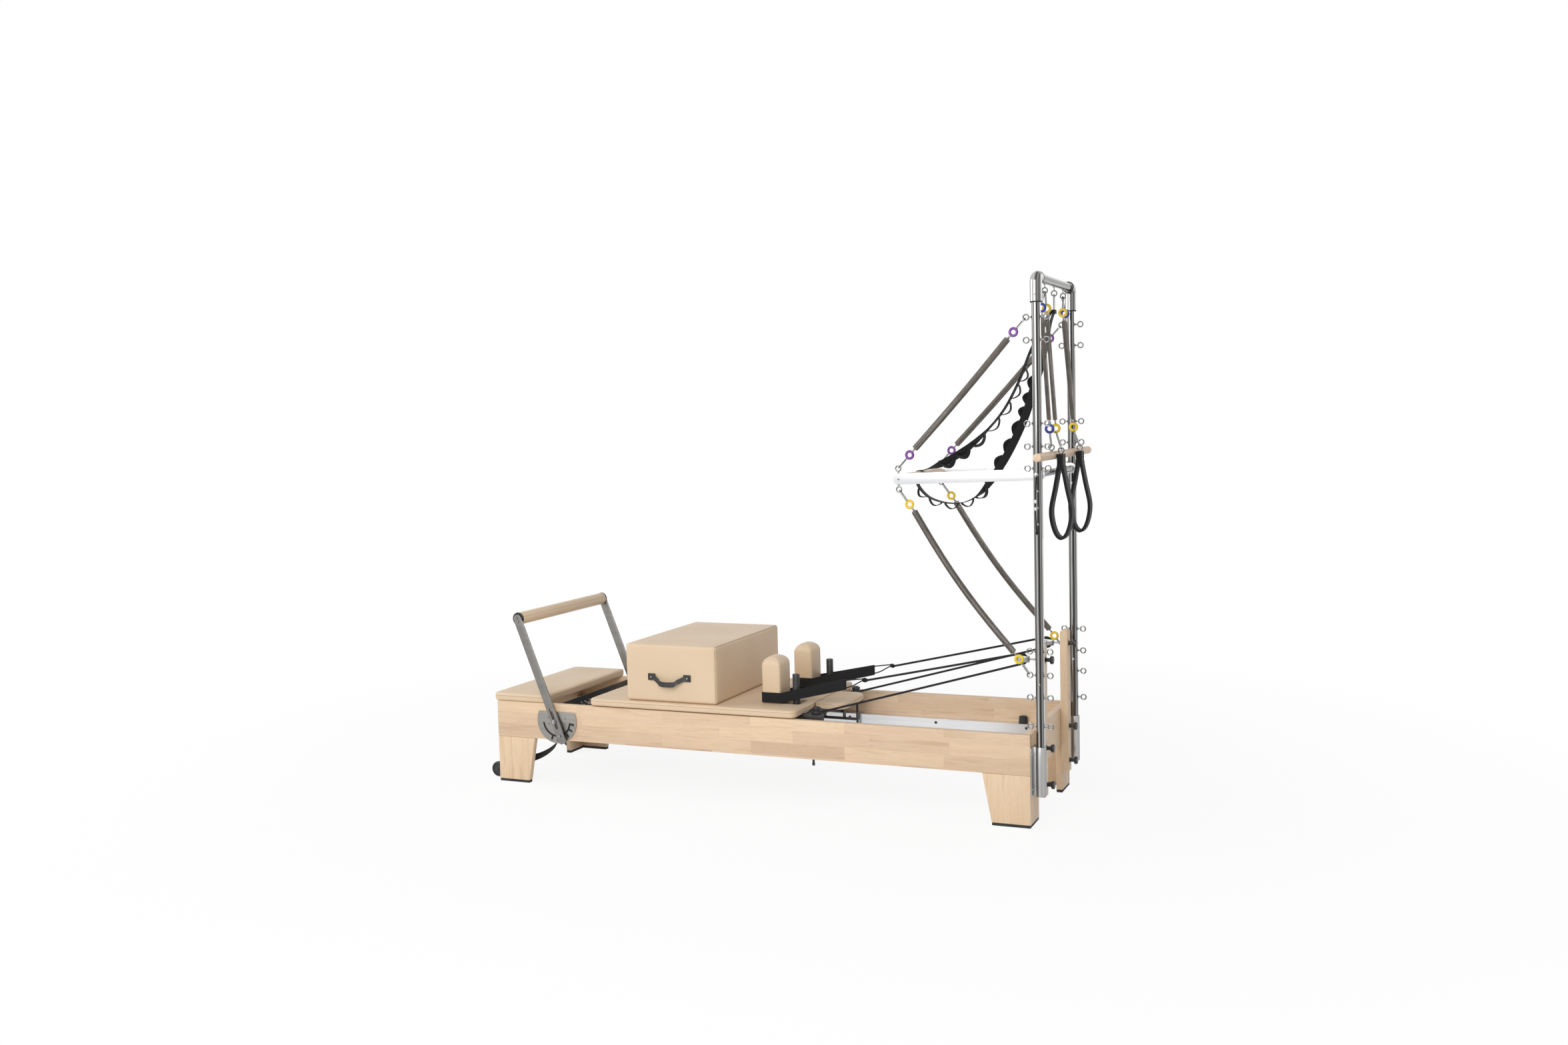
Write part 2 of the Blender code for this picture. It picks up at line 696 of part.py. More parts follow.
def build_platform():
    """Padded foot platform, the hooked spring bar behind it and the springs under the carriage."""
    plan = rounded_rectangle((PLATFORM_START, PLATFORM_START + PLATFORM_LENGTH), (-HALF_WIDTH, HALF_WIDTH),
                             (PAD_CORNER, 0.006, 0.006, PAD_CORNER))
    add_node("platform_pad", shaped(cushion(plan, RAIL_TOP + GAP, PLATFORM_THICKNESS, PAD_EDGE, 0.004)),
             "beige_leather")
    floor = TRACK_TOP + GAP
    reach = SPRING_BAR_X + SPRING_BAR_DEPTH
    wall = SPRING_BAR_X + SPRING_BAR_WALL
    section = ((SPRING_BAR_X, floor), (reach, floor), (reach, floor + SPRING_BAR_WALL),
               (wall, floor + SPRING_BAR_WALL),
               (wall, RAIL_TOP - SPRING_BAR_DROP), (SPRING_BAR_X, RAIL_TOP - SPRING_BAR_DROP))
    side = INNER_Y - GAP
    bar = [shaped(prism(section, "Y", -side, side))]
    ring_x = wall + HOOK_NECK + HOOK_RING
    spring_start = ring_x + HOOK_RING + HOOK_RADIUS + GAP
    spring_end = CROSS_BAR_X[0] - CROSS_BAR_WIDTH / 2 - GAP
    plate_y = (SPRING_COUNT - 1) / 2 * SPRING_SPACING + CARRIAGE_SPRING_RADIUS
    springs = [shaped(block((spring_end - SPRING_PLATE, spring_end), (-plate_y, plate_y),
                            (HOOK_Z - CARRIAGE_SPRING_RADIUS * 0.8,
                             HOOK_Z + CARRIAGE_SPRING_RADIUS * 0.8)))]
    for i in range(SPRING_COUNT):
        y = (i - (SPRING_COUNT - 1) / 2) * SPRING_SPACING
        bar.append(shaped(rod((wall - FUSE, y, HOOK_Z), (ring_x - HOOK_RING * 0.8, y, HOOK_Z),
                              HOOK_RADIUS * 0.9, 4)))
        turns = [2 * math.pi * (k + 0.5) / 6 for k in range(6)]
        spots = [(ring_x + HOOK_RING * math.cos(t), y, HOOK_Z + HOOK_RING * math.sin(t)) for t in turns]
        bar.append(shaped(tube_loop(spots, HOOK_RADIUS, 4)))
        springs.append(shaped(rod((spring_start, y, HOOK_Z), (spring_end - SPRING_PLATE / 2, y, HOOK_Z),
                                  CARRIAGE_SPRING_RADIUS, 8)))
    add_node("spring_bar", union(*bar), "black_steel")
    add_node("carriage_springs", union(*springs), "spring_steel")


def notch_slot_outline():
    """Arc slot with its notches, as angles from the pivot in degrees, seen along Y."""
    first = BAR_ANGLE + 180 - NOTCH_IN_USE * NOTCH_STEP
    outer, inner = SLOT_RADIUS + SLOT_WIDTH / 2, SLOT_RADIUS - SLOT_WIDTH / 2
    deep = SLOT_RADIUS + NOTCH_DEPTH + SLOT_WIDTH / 2
    half = math.degrees(SLOT_WIDTH / 2 / outer)
    half_deep = math.degrees(SLOT_WIDTH / 2 / deep)
    last = first + (NOTCH_COUNT - 1) * NOTCH_STEP + half

    def spot(radius, degrees):
        angle = math.radians(degrees)
        return (PIVOT_X + radius * math.cos(angle), PIVOT_Z + radius * math.sin(angle))
    outline = [spot(outer, SLOT_START + (first - half - SLOT_START) * k / 5) for k in range(5)]
    for n in range(NOTCH_COUNT):
        angle = first + n * NOTCH_STEP
        outline += [spot(outer, angle - half), spot(deep, angle - half_deep),
                    spot(deep, angle + half_deep), spot(outer, angle + half)]
    outline += [spot(inner, last + (SLOT_START - last) * k / 14) for k in range(15)]
    return outline


def build_gear_plates():
    """Half-round plates with the arc slot and their screws, and the foot bar's pivot bolts."""
    for side, sign in SIDES.items():
        near, far = sign * (HALF_WIDTH + GAP), sign * (HALF_WIDTH + GAP + PLATE_THICKNESS)
        flat = math.sqrt(PLATE_RADIUS ** 2 - PLATE_TOP ** 2)
        plan = [(PIVOT_X + flat, PIVOT_Z + PLATE_TOP), (PIVOT_X - flat, PIVOT_Z + PLATE_TOP)]
        plan += arc((PIVOT_X, PIVOT_Z), PLATE_RADIUS, 180, 360, 18)
        slot = shaped(prism(notch_slot_outline(), "Y", near - sign * FUSE, far + sign * FUSE))
        plate = cut(shaped(prism(plan, "Y", near, far)), slot)
        screws = []
        for x in (-PLATE_SCREW_X, PLATE_SCREW_X):
            for z in (-PLATE_SCREW_Z, PLATE_SCREW_Z):
                spot = (PIVOT_X + x, far - sign * FUSE, PIVOT_Z + z)
                top = (PIVOT_X + x, far + sign * PLATE_SCREW_HEAD, PIVOT_Z + z)
                screws.append(shaped(rod(spot, top, PLATE_SCREW_RADIUS, 6, PLATE_SCREW_RADIUS * 0.6)))
        add_node("gear_plate_" + side, union(plate, *screws), "brushed_steel")
        outside = sign * (ARM_INNER_Y + ARM_THICKNESS + GAP)
        bottom = far + sign * GAP
        shaft = rod((PIVOT_X, bottom, PIVOT_Z), (PIVOT_X, outside + sign * FUSE, PIVOT_Z),
                    PIVOT_BOLT_RADIUS, 10)
        head = rod((PIVOT_X, outside, PIVOT_Z), (PIVOT_X, outside + sign * PIVOT_HEAD, PIVOT_Z),
                   PIVOT_HEAD_RADIUS, 12,
                   PIVOT_HEAD_RADIUS * 0.7)
        spacer = rod((PIVOT_X, bottom, PIVOT_Z), (PIVOT_X, sign * (ARM_INNER_Y - GAP), PIVOT_Z),
                     PIVOT_HEAD_RADIUS, 12)
        add_node("pivot_bolt_" + side, union(shaped(shaft), shaped(head), shaped(spacer)), "polished_steel")


def build_foot_bar():
    """Two arms with their lock pins and end caps, and the padded roller.

    Local x runs from the pivot to the roller. The lock pins stand in the slot's free arc,
    so the bar is drawn lifted out of its notch.
    """
    pivot = add_pivot("foot_bar_pivot", (PIVOT_X, 0, PIVOT_Z), (0, -math.radians(BAR_ANGLE), 0))
    half = ARM_WIDTH / 2
    plan = arc((BAR_REACH, 0), half, -90, 90, 8) + arc((-ARM_TAIL, 0), half, 90, 270, 8)
    slot_half = PIVOT_BOLT_RADIUS + RUNNING_CLEARANCE
    slot = arc((ARM_SLOT_UP, 0), slot_half, -90, 90, 6) + arc((-ARM_SLOT_DOWN, 0), slot_half, 90, 270, 6)
    for side, sign in SIDES.items():
        inner, outer = sign * ARM_INNER_Y, sign * (ARM_INNER_Y + ARM_THICKNESS)
        arm = cut(shaped(prism(plan, "Y", inner, outer)),
                  shaped(prism(slot, "Y", inner - sign * FUSE, outer + sign * FUSE)))
        pin_start = sign * (HALF_WIDTH + GAP + RUNNING_CLEARANCE)
        pin = shaped(rod((-SLOT_RADIUS, pin_start, 0), (-SLOT_RADIUS, inner + sign * FUSE, 0),
                         LOCK_PIN_RADIUS, 10))
        cap_inner = sign * (ARM_INNER_Y - ROLLER_CAP)
        cap = shaped(rod((BAR_REACH, cap_inner, 0), (BAR_REACH, inner + sign * FUSE, 0),
                         ROLLER_RADIUS - ROLLER_EDGE, 16))
        add_node("foot_bar_arm_" + side, union(arm, pin, cap), "brushed_steel", pivot)
    end = ARM_INNER_Y - GAP - ROLLER_CAP
    roller = shaped(barrel((BAR_REACH, 0, 0), end, ROLLER_RADIUS, ROLLER_EDGE, 18))
    smooth(add_node("foot_bar_roller", roller, "beige_leather", pivot))


def barrel(centre, half, radius, edge, sides):
    """Cylinder along Y with softened ends."""
    def maker(bm):
        rings = []
        for y, r in ((-half, radius - edge), (-half + edge, radius), (half - edge, radius),
                     (half, radius - edge)):
            rings.append([bm.verts.new((centre[0] + r * math.cos(t), centre[1] + y,
                                        centre[2] + r * math.sin(t)))
                          for t in (2 * math.pi * k / sides for k in range(sides))])
        for here, there in zip(rings, rings[1:]):
            for i in range(sides):
                j = (i + 1) % sides
                bm.faces.new((here[i], here[j], there[j], there[i]))
        bm.faces.new(rings[0])
        bm.faces.new(rings[-1])
    return maker


def build_carriage():
    """Padded bed, the welded frame with its pegs and rope cleats, and the wheels."""
    plan = rounded_rectangle((BED_START, BED_END), (-HALF_WIDTH, HALF_WIDTH),
                             (PAD_CORNER, PAD_CORNER, PAD_CORNER, PAD_CORNER))
    bed = shaped(cushion(plan, BED_BOTTOM, BED_THICKNESS, PAD_EDGE, 0.002))
    for sign in SIDES.values():
        limits = sorted((sign * (BED_HOLE_OUTER_Y - BED_HOLE_WIDTH), sign * BED_HOLE_OUTER_Y))
        hole = rounded_rectangle((BED_HOLE_START, BED_HOLE_END), limits, (0.008, 0.008, 0.008, 0.008), 2)
        bed = cut(bed, shaped(prism(hole, "Z", BED_BOTTOM - 0.01, BED_TOP + 0.01)))
    add_node("carriage_bed", bed, "beige_leather")
    frame_top = BED_BOTTOM - GAP
    frame_low = frame_top - BEAM_HEIGHT
    wheel_z = TRACK_TOP + GAP + WHEEL_RADIUS
    outer = BEAM_Y + BEAM_WIDTH / 2
    inner = BEAM_Y - BEAM_WIDTH / 2
    spring_low = HOOK_Z - CARRIAGE_SPRING_RADIUS
    pieces = [shaped(block((x - CROSS_BAR_WIDTH / 2, x + CROSS_BAR_WIDTH / 2), (-BEAM_Y, BEAM_Y),
                           (low, frame_top - FUSE)))
              for x, low in zip(CROSS_BAR_X, (spring_low, frame_low + FUSE))]
    holes = []
    for sign in SIDES.values():
        pieces.append(shaped(block((BEAM_START, BEAM_END), sorted((sign * inner, sign * outer)),
                                   (frame_low, frame_top))))
        plate_y = sorted((sign * (BED_HOLE_OUTER_Y - BED_HOLE_WIDTH - 0.012), sign * BEAM_Y))
        pieces.append(shaped(block((BED_HOLE_START - 0.012, BED_HOLE_END + 0.012), plate_y,
                                   (frame_top - SOCKET_PLATE, frame_top - FUSE / 2))))
        stem_x, stem_y = rest_stem(sign)
        wide = RUNNING_CLEARANCE
        holes.append(shaped(block((stem_x[0] - wide, stem_x[1] + wide),
                                  (stem_y[0] - wide, stem_y[1] + wide),
                                  (frame_top - 0.01, frame_top + 0.01))))
        for x in WHEEL_X:
            hanger_y = sorted((sign * (outer - 0.006), sign * (outer + 0.005)))
            pieces.append(shaped(block((x - 0.014, x + 0.014), hanger_y,
                                       (wheel_z - 0.012, frame_low + 0.010))))
            end = sign * (TRACK_INNER_Y + TRACK_WIDTH / 2 + WHEEL_WIDTH / 2 + 0.002)
            pieces.append(shaped(rod((x, sign * outer, wheel_z), (x, end, wheel_z), AXLE_RADIUS, 8)))
        pieces.append(shaped(rod((PEG_X, sign * PEG_Y, frame_low + 0.004), (PEG_X, sign * PEG_Y, PEG_TOP),
                                 PEG_RADIUS, 12)))
        neck = frame_top + CLEAT_HEIGHT * 0.45
        spot = (CLEAT_X, sign * BEAM_Y)
        pieces.append(shaped(rod((*spot, frame_top - FUSE), (*spot, neck), CLEAT_RADIUS, 12)))
        pieces.append(shaped(rod((*spot, neck - FUSE), (*spot, frame_top + CLEAT_HEIGHT),
                                 CLEAT_RADIUS * 0.75, 12, CLEAT_RADIUS * 0.62)))
        pieces += drop_pin(sign, frame_low)
    pieces += headrest_bracket(frame_low)
    add_node("carriage_frame", cut(union(*pieces), *holes), "black_steel")
    half = WHEEL_WIDTH / 2
    bore = AXLE_RADIUS + RUNNING_CLEARANCE
    profile = ((bore, -half), (WHEEL_RADIUS, -half), (WHEEL_RADIUS, half), (bore, half))
    middle = TRACK_INNER_Y + TRACK_WIDTH / 2
    for place, x in zip(("foot", "tower"), WHEEL_X):
        for side, sign in SIDES.items():
            wheel = shaped(turned(profile, (0, 0, 0), (0, 1, 0), 12))
            smooth(add_node("wheel_" + side + "_" + place, wheel, "black_rubber",
                            place=(x, sign * middle, wheel_z)))
    build_headrest()
    build_rests()


def drop_pin(sign, frame_low):
    """Pin that hangs beside the beam, and the tab that carries it."""
    x, y = DROP_PIN_X, sign * DROP_PIN_Y
    tab_y = sorted((sign * BEAM_Y, sign * (DROP_PIN_Y + DROP_PIN_RADIUS)))
    tab = block((x - DROP_PIN_RADIUS, x + DROP_PIN_RADIUS), tab_y,
                (frame_low + FUSE, frame_low + 2 * DROP_PIN_RADIUS))
    return [shaped(tab),
            shaped(rod((x, y, DROP_PIN_BOTTOM), (x, y, frame_low + 2 * FUSE), DROP_PIN_RADIUS * 0.9, 8))]


def headrest_bracket(frame_low):
    """Bracket under the headrest with its lip and prop, welded to the carriage frame."""
    low = frame_low - BRACKET_DROP
    start = CROSS_BAR_X[-1] - CROSS_BAR_WIDTH / 2
    end = BED_END + BRACKET_REACH
    wall = BRACKET_WALL * 2
    section = ((start, frame_low + 0.004), (start, low), (end, low), (end, low + BRACKET_LIP),
               (end - wall, low + BRACKET_LIP),
               (end - wall, low + wall), (start + wall, low + wall), (start + wall, frame_low + 0.004))
    prop_x = BED_END + PROP_REACH
    prop_top = BED_BOTTOM - RUNNING_CLEARANCE
    return [shaped(prism(section, "Y", -BRACKET_WIDTH / 2, BRACKET_WIDTH / 2)),
            shaped(block((prop_x - wall / 2, prop_x + wall / 2),
                         (-BRACKET_WIDTH * 0.4, BRACKET_WIDTH * 0.4), (low + 0.002, prop_top)))]


def rest_stem(sign):
    """Limits of a shoulder rest's stem along X and Y."""
    x = BED_HOLE_START + 0.006
    y = sorted((sign * (REST_Y - REST_STEM_WIDTH / 2), sign * (REST_Y + REST_STEM_WIDTH / 2)))
    return (x, x + REST_STEM_DEPTH), y


def build_headrest():
    """Headrest pad hinged at the bed's end."""
    rise = HEADREST_THICKNESS - HINGE_DEPTH
    pivot = add_pivot("headrest_hinge", (BED_END + HEADREST_GAP, 0, BED_BOTTOM + rise))
    half = HEADREST_WIDTH / 2
    plan = rounded_rectangle((0.0, HEADREST_LENGTH), (-half, half),
                             (0.006, HEADREST_CORNER, HEADREST_CORNER, 0.006), 4)
    pad = shaped(cushion(plan, -rise, HEADREST_THICKNESS, PAD_EDGE, 0.003))
    add_node("headrest_pad", pad, "beige_leather", pivot)


def build_rests():
    """Shoulder rests on stems, which lift out of the carriage."""
    for side, sign in SIDES.items():
        y = sorted((sign * (REST_Y - REST_WIDTH / 2), sign * (REST_Y + REST_WIDTH / 2)))
        bottom, top = BED_TOP + GAP, BED_TOP + GAP + REST_HEIGHT
        radius = REST_CORNER
        outline = [(REST_X, bottom), (REST_X + REST_DEPTH, bottom)]
        outline += arc((REST_X + REST_DEPTH - radius, top - radius), radius, 0, 90, 4)
        outline += arc((REST_X + radius, top - radius), radius, 90, 180, 4)
        body = shaped(prism(outline, "Y", y[0], y[1]))
        mask = [(y[0], bottom - 0.001), (y[1], bottom - 0.001)]
        mask += arc((y[1] - radius, top - radius), radius, 0, 90, 4)
        mask += arc((y[0] + radius, top - radius), radius, 90, 180, 4)
        shape = boolean(body, shaped(prism(mask, "X", REST_X - 0.01, REST_X + REST_DEPTH + 0.01)),
                        "INTERSECT")
        stem_x, stem_y = rest_stem(sign)
        stem = shaped(block(stem_x, stem_y, (BED_BOTTOM - REST_STEM_DROP, bottom + 0.010)))
        smooth(add_node("shoulder_rest_" + side, union(shape, stem), "beige_leather"))


def build_straps_and_ropes():
    """Webbing straps round the shoulder rests with their ties and knots, and the ropes."""
    for side, sign in SIDES.items():
        low = BED_TOP + 0.004 + STRAP_WIDTH / 2
        out = STRAP_THICKNESS / 2 + 0.002
        half = REST_WIDTH / 2 + out
        rest_end = REST_X + REST_DEPTH
        rise = (STRAP_END_Z - low) / (STRAP_END_X - rest_end)
        centre = sign * REST_Y
        corner = 0.004
        back = REST_X - out
        fork = (rest_end + STRAP_END_X) / 2 - 0.05
        plan = [(back, -half + corner), (back + corner, -half), (rest_end, -half), (fork, -half * 0.62),
                (STRAP_END_X - 0.02, -0.010), (STRAP_END_X, -0.004), (STRAP_END_X, 0.004),
                (STRAP_END_X - 0.02, 0.010),
                (fork, half * 0.62), (rest_end, half), (back + corner, half), (back, half - corner)]
        route = [(x, centre + y, low + max(0.0, (x - rest_end) * rise)) for x, y in plan]
        knot_start = (KNOT_X - KNOT_LENGTH / 2, centre, KNOT_Z)
        knot_end = (KNOT_X + KNOT_LENGTH / 2, centre, KNOT_Z)
        ties = [shaped(rod((STRAP_END_X - 0.0008, centre, STRAP_END_Z + shift),
                           (knot_start[0] + 0.004, centre, KNOT_Z + shift * 0.25), TIE_RADIUS, 5))
                for shift in (-STRAP_WIDTH * 0.36, STRAP_WIDTH * 0.36)]
        strap = shaped(band(route, STRAP_WIDTH, STRAP_THICKNESS, (0, 0, 1), closed=True))
        knot = shaped(rod(knot_start, knot_end, KNOT_RADIUS, 8, KNOT_RADIUS * 0.6))
        add_node("hand_strap_" + side, union(strap, knot, *ties), "black_webbing")
        add_node("rope_" + side, shaped(rope_tube(sign, knot_end)), "black_webbing")


def rope_tube(sign, knot_end):
    """Rope from the hand strap over the pulley and back to the cleat."""
    wrap = (SHEAVE_RADIUS + ROPE_RADIUS + GAP) * 1.05
    y = sign * RISER_Y
    first = Vector((knot_end[0] + 4 * GAP, knot_end[1], knot_end[2]))
    last = Vector((CLEAT_X + CLEAT_RADIUS + 5 * GAP, sign * BEAM_Y, BED_BOTTOM + CLEAT_HEIGHT * 0.35))
    turn = []
    for k in range(9):
        angle = math.radians(95 - k * 190 / 8)
        turn.append(Vector((SHEAVE_X + wrap * math.cos(angle), y, SHEAVE_Z + wrap * math.sin(angle))))
    route = [first, first.lerp(turn[0], 0.5)] + turn + [turn[-1].lerp(last, 0.5), last]
    return tube_loop(route, ROPE_RADIUS, 6, closed=False)


def build_sitting_box():
    """Padded box that stands on the carriage, with its strap handle."""
    half = BOX_WIDTH / 2
    bottom = BED_TOP + GAP
    mesh = shaped(block((BOX_START, BOX_START + BOX_LENGTH), (-half, half), (bottom, bottom + BOX_HEIGHT)))
    box = add_node("sitting_box", mesh, "beige_leather")
    bevel = box.modifiers.new("Bevel", "BEVEL")
    bevel.width = BOX_EDGE
    bevel.segments = 2
    face = -half - GAP
    rivet_z = bottom + BOX_HEIGHT - HANDLE_DROP
    steps = 8
    upper = []
    lower = []
    for k in range(steps + 1):
        t = k / steps
        x = HANDLE_X + (t - 0.5) * (HANDLE_SPAN + HANDLE_WIDTH)
        sag = rivet_z - HANDLE_SAG * (1 - (2 * t - 1) ** 4)
        upper.append((x, sag + HANDLE_WIDTH / 2))
        lower.append((x, sag - HANDLE_WIDTH / 2))
    add_node("box_handle", shaped(prism(upper + lower[::-1], "Y", face, face - HANDLE_THICKNESS)),
             "black_webbing")


def pulley_block(side, sign):
    """Grooved sheave, and the mesh of its metal block on a shank that goes into the riser."""
    y = sign * RISER_Y
    half = SHEAVE_WIDTH / 2
    pin = AXLE_RADIUS * 0.6
    bore = pin + RUNNING_CLEARANCE
    rim = SHEAVE_RADIUS + SHEAVE_GROOVE
    profile = ((bore, -half), (rim, -half), (SHEAVE_RADIUS, 0), (rim, half), (bore, half))
    sheave = shaped(turned(profile, (0, 0, 0), (0, 1, 0), 12))
    smooth(add_node("sheave_" + side, sheave, "black_plastic", place=(SHEAVE_X, y, SHEAVE_Z)))
    inside = half + RUNNING_CLEARANCE
    back = SHEAVE_X + rim + ROPE_RADIUS * 2 + RUNNING_CLEARANCE
    start = back + BLOCK_WALL - BLOCK_LENGTH
    outline = rounded_rectangle((start, back + BLOCK_WALL),
                                (SHEAVE_Z - BLOCK_HEIGHT / 2, SHEAVE_Z + BLOCK_HEIGHT / 2),
                                (0.010, 0.004, 0.004, 0.010), 2)
    cheeks = []
    for way in (-1, 1):
        limits = sorted((y + way * inside, y + way * (inside + BLOCK_WALL)))
        cheeks.append(shaped(prism(outline, "Y", limits[0], limits[1])))
    web = shaped(block((back, back + BLOCK_WALL - FUSE / 2), (y - inside - FUSE, y + inside + FUSE),
                       (SHEAVE_Z - BLOCK_HEIGHT * 0.4, SHEAVE_Z + BLOCK_HEIGHT * 0.4)))
    axle = shaped(rod((SHEAVE_X, y - inside - FUSE, SHEAVE_Z), (SHEAVE_X, y + inside + FUSE, SHEAVE_Z), pin,
                      8))
    shank = shaped(rod((back + FUSE, y, SHEAVE_Z), (RISER_FRONT + FUSE, y, SHEAVE_Z), SHANK_RADIUS, 6))
    return union(cheeks[0], web, cheeks[1], axle, shank)


def build_tower():
    """Risers with their knobs and pulleys, sleeves, posts with their eye bolts, and the top bar."""
    for side, sign in SIDES.items():
        y = sorted((sign * (RISER_Y - RISER_WIDTH / 2), sign * (RISER_Y + RISER_WIDTH / 2)))
        outline = [(RISER_FRONT, RISER_BOTTOM), (RISER_BACK, RISER_BOTTOM)]
        outline += arc((RISER_BACK - RISER_ROUND, RISER_TOP - RISER_ROUND), RISER_ROUND, 0, 90, 3)
        outline += arc((RISER_FRONT + RISER_ROUND, RISER_TOP - RISER_ROUND), RISER_ROUND, 90, 180, 3)
        pieces = [shaped(prism(outline, "Y", y[0], y[1]))]
        pieces += [knob(RISER_BACK, sign * RISER_Y, z) for z in CLAMP_HEIGHTS + (SHEAVE_Z,)]
        pieces.append(pulley_block(side, sign))
        add_node("riser_" + side, union(*pieces), "maple")
        centre_y = sign * POST_Y
        flange_y = (centre_y - FLANGE_WIDTH / 2, centre_y + FLANGE_WIDTH / 2)
        z = (SLEEVE_BOTTOM, SLEEVE_TOP)
        face = FRAME_LENGTH + GAP
        flange = shaped(block((face, face + FLANGE_THICKNESS), flange_y, z))
        web = shaped(block((face + FUSE, POST_X), (centre_y - 0.012, centre_y + 0.012),
                           (z[0] + FUSE, z[1] - FUSE)))
        socket = shaped(rod((POST_X, centre_y, z[0]), (POST_X, centre_y, z[1]), SLEEVE_RADIUS, 20))
        bore = shaped(rod((POST_X, centre_y, z[0] - 0.01), (POST_X, centre_y, z[1] + 0.01),
                          POST_RADIUS + 3 * GAP, 20))
        screws = []
        for way in (-1, 1):
            for height in SLEEVE_SCREW_HEIGHTS:
                start = face + FLANGE_THICKNESS
                spot = centre_y + way * SLEEVE_SCREW_Y
                screws.append(shaped(rod((start - FUSE, spot, height), (start + 0.0025, spot, height),
                                         0.005, 6, 0.003)))
        smooth(add_node("sleeve_" + side, cut(union(flange, web, socket, *screws), bore), "aluminium"))
        smooth(add_node("post_" + side, post_mesh(sign), "polished_steel"))
    reach = POST_Y - ELBOW_REACH + FUSE
    bar = [shaped(rod((POST_X, -reach, TOP_BAR_Z), (POST_X, reach, TOP_BAR_Z), POST_RADIUS, 16))]
    bar += [shaped(elbow(sign)) for sign in SIDES.values()]
    down = Matrix.Rotation(math.radians(90), 4, "Y")
    for y in (-TOP_EYE_Y, 0.0, TOP_EYE_Y):
        bar.append(moved(eye_bolt(TOP_EYE_DROP - POST_RADIUS + 4 * FUSE),
                         Matrix.Translation((POST_X, y, TOP_BAR_Z - TOP_EYE_DROP)) @ down))
    smooth(add_node("top_bar", union(*bar), "polished_steel"))


def post_mesh(sign):
    """Upright tube with its eye bolts and pin holes, and the push-through bar's pin in it."""
    y = sign * POST_Y
    reach = POST_RADIUS + 0.01
    post = shaped(rod((POST_X, y, SLEEVE_BOTTOM), (POST_X, y, TOWER_TOP - ELBOW_DROP - GAP), POST_RADIUS,
                      16))
    holes = [shaped(rod((POST_X, y - reach, z), (POST_X, y + reach, z), PIN_RADIUS + RUNNING_CLEARANCE, 6))
             for z in PIN_HOLE_HEIGHTS]
    length = EYE_OFFSET - POST_RADIUS + 4 * FUSE
    pieces = []
    for z in EYE_HEIGHTS:
        pieces.append(moved(eye_bolt(length), Matrix.Translation((POST_X + EYE_OFFSET, y, z))))
        turn = Matrix.Rotation(math.pi, 4, "Z")
        pieces.append(moved(eye_bolt(length), Matrix.Translation((POST_X - EYE_OFFSET, y, z)) @ turn))
    head_y = sign * (POST_Y + POST_RADIUS + 0.004)
    inner = sign * (PTB_ARM_OUTER_Y - PTB_ARM_THICKNESS)
    pieces.append(shaped(rod((POST_X, head_y + sign * FUSE, PTB_Z), (POST_X, inner, PTB_Z), PIN_RADIUS,
                             10)))
    pieces.append(shaped(rod((POST_X, head_y, PTB_Z), (POST_X, head_y + sign * PIN_HEAD, PTB_Z),
                             PIN_RADIUS * 1.9, 10)))
    return union(cut(post, *holes), *pieces)


def elbow(sign):
    """Bend that joins a post to the top bar."""
    y = sign * POST_Y
    bend = arc((y - sign * ELBOW_BEND, TOP_BAR_Z - ELBOW_BEND), ELBOW_BEND, 0 if sign > 0 else 180, 90, 4)
    route = [(POST_X, y, TOWER_TOP - ELBOW_DROP)] + [(POST_X, a, b) for a, b in bend]
    route.append((POST_X, sign * (POST_Y - ELBOW_REACH), TOP_BAR_Z))
    return tube_loop(route, ELBOW_RADIUS, 14, closed=False)


def eye_bolt(length):
    """Ring at the origin with its shank along -X to the given distance."""
    turns = [math.pi + 2 * math.pi * k / EYE_SIDES for k in range(EYE_SIDES)]
    spots = [(EYE_RING * math.cos(t), 0, EYE_RING * math.sin(t)) for t in turns]
    return union(shaped(tube_loop(spots, EYE_WIRE, 3)),
                 shaped(rod((-EYE_RING, 0, 0), (-length, 0, 0), EYE_WIRE * 0.9, 3)))


def eye_seat(eye, way):
    """Where the end of a hook's wire lies in an eye that it pulls along a direction."""
    inside = EYE_RING * math.cos(math.pi / EYE_SIDES) - EYE_WIRE
    return eye + way * (inside - HOOK_WIRE - HOOK_SEAT)


def hook_on_rim(eye, pull, target, shift=0.0, seat=HOOK_SEAT):
    """Where a hook's wire ends behind the rim of an eye that it pulls, shifted along the rim."""
    rim = eye + pull * EYE_RING * math.cos(math.pi / EYE_SIDES) + Vector((shift, 0, 0))
    return rim - (target - rim).normalized() * (EYE_WIRE + HOOK_WIRE + seat)


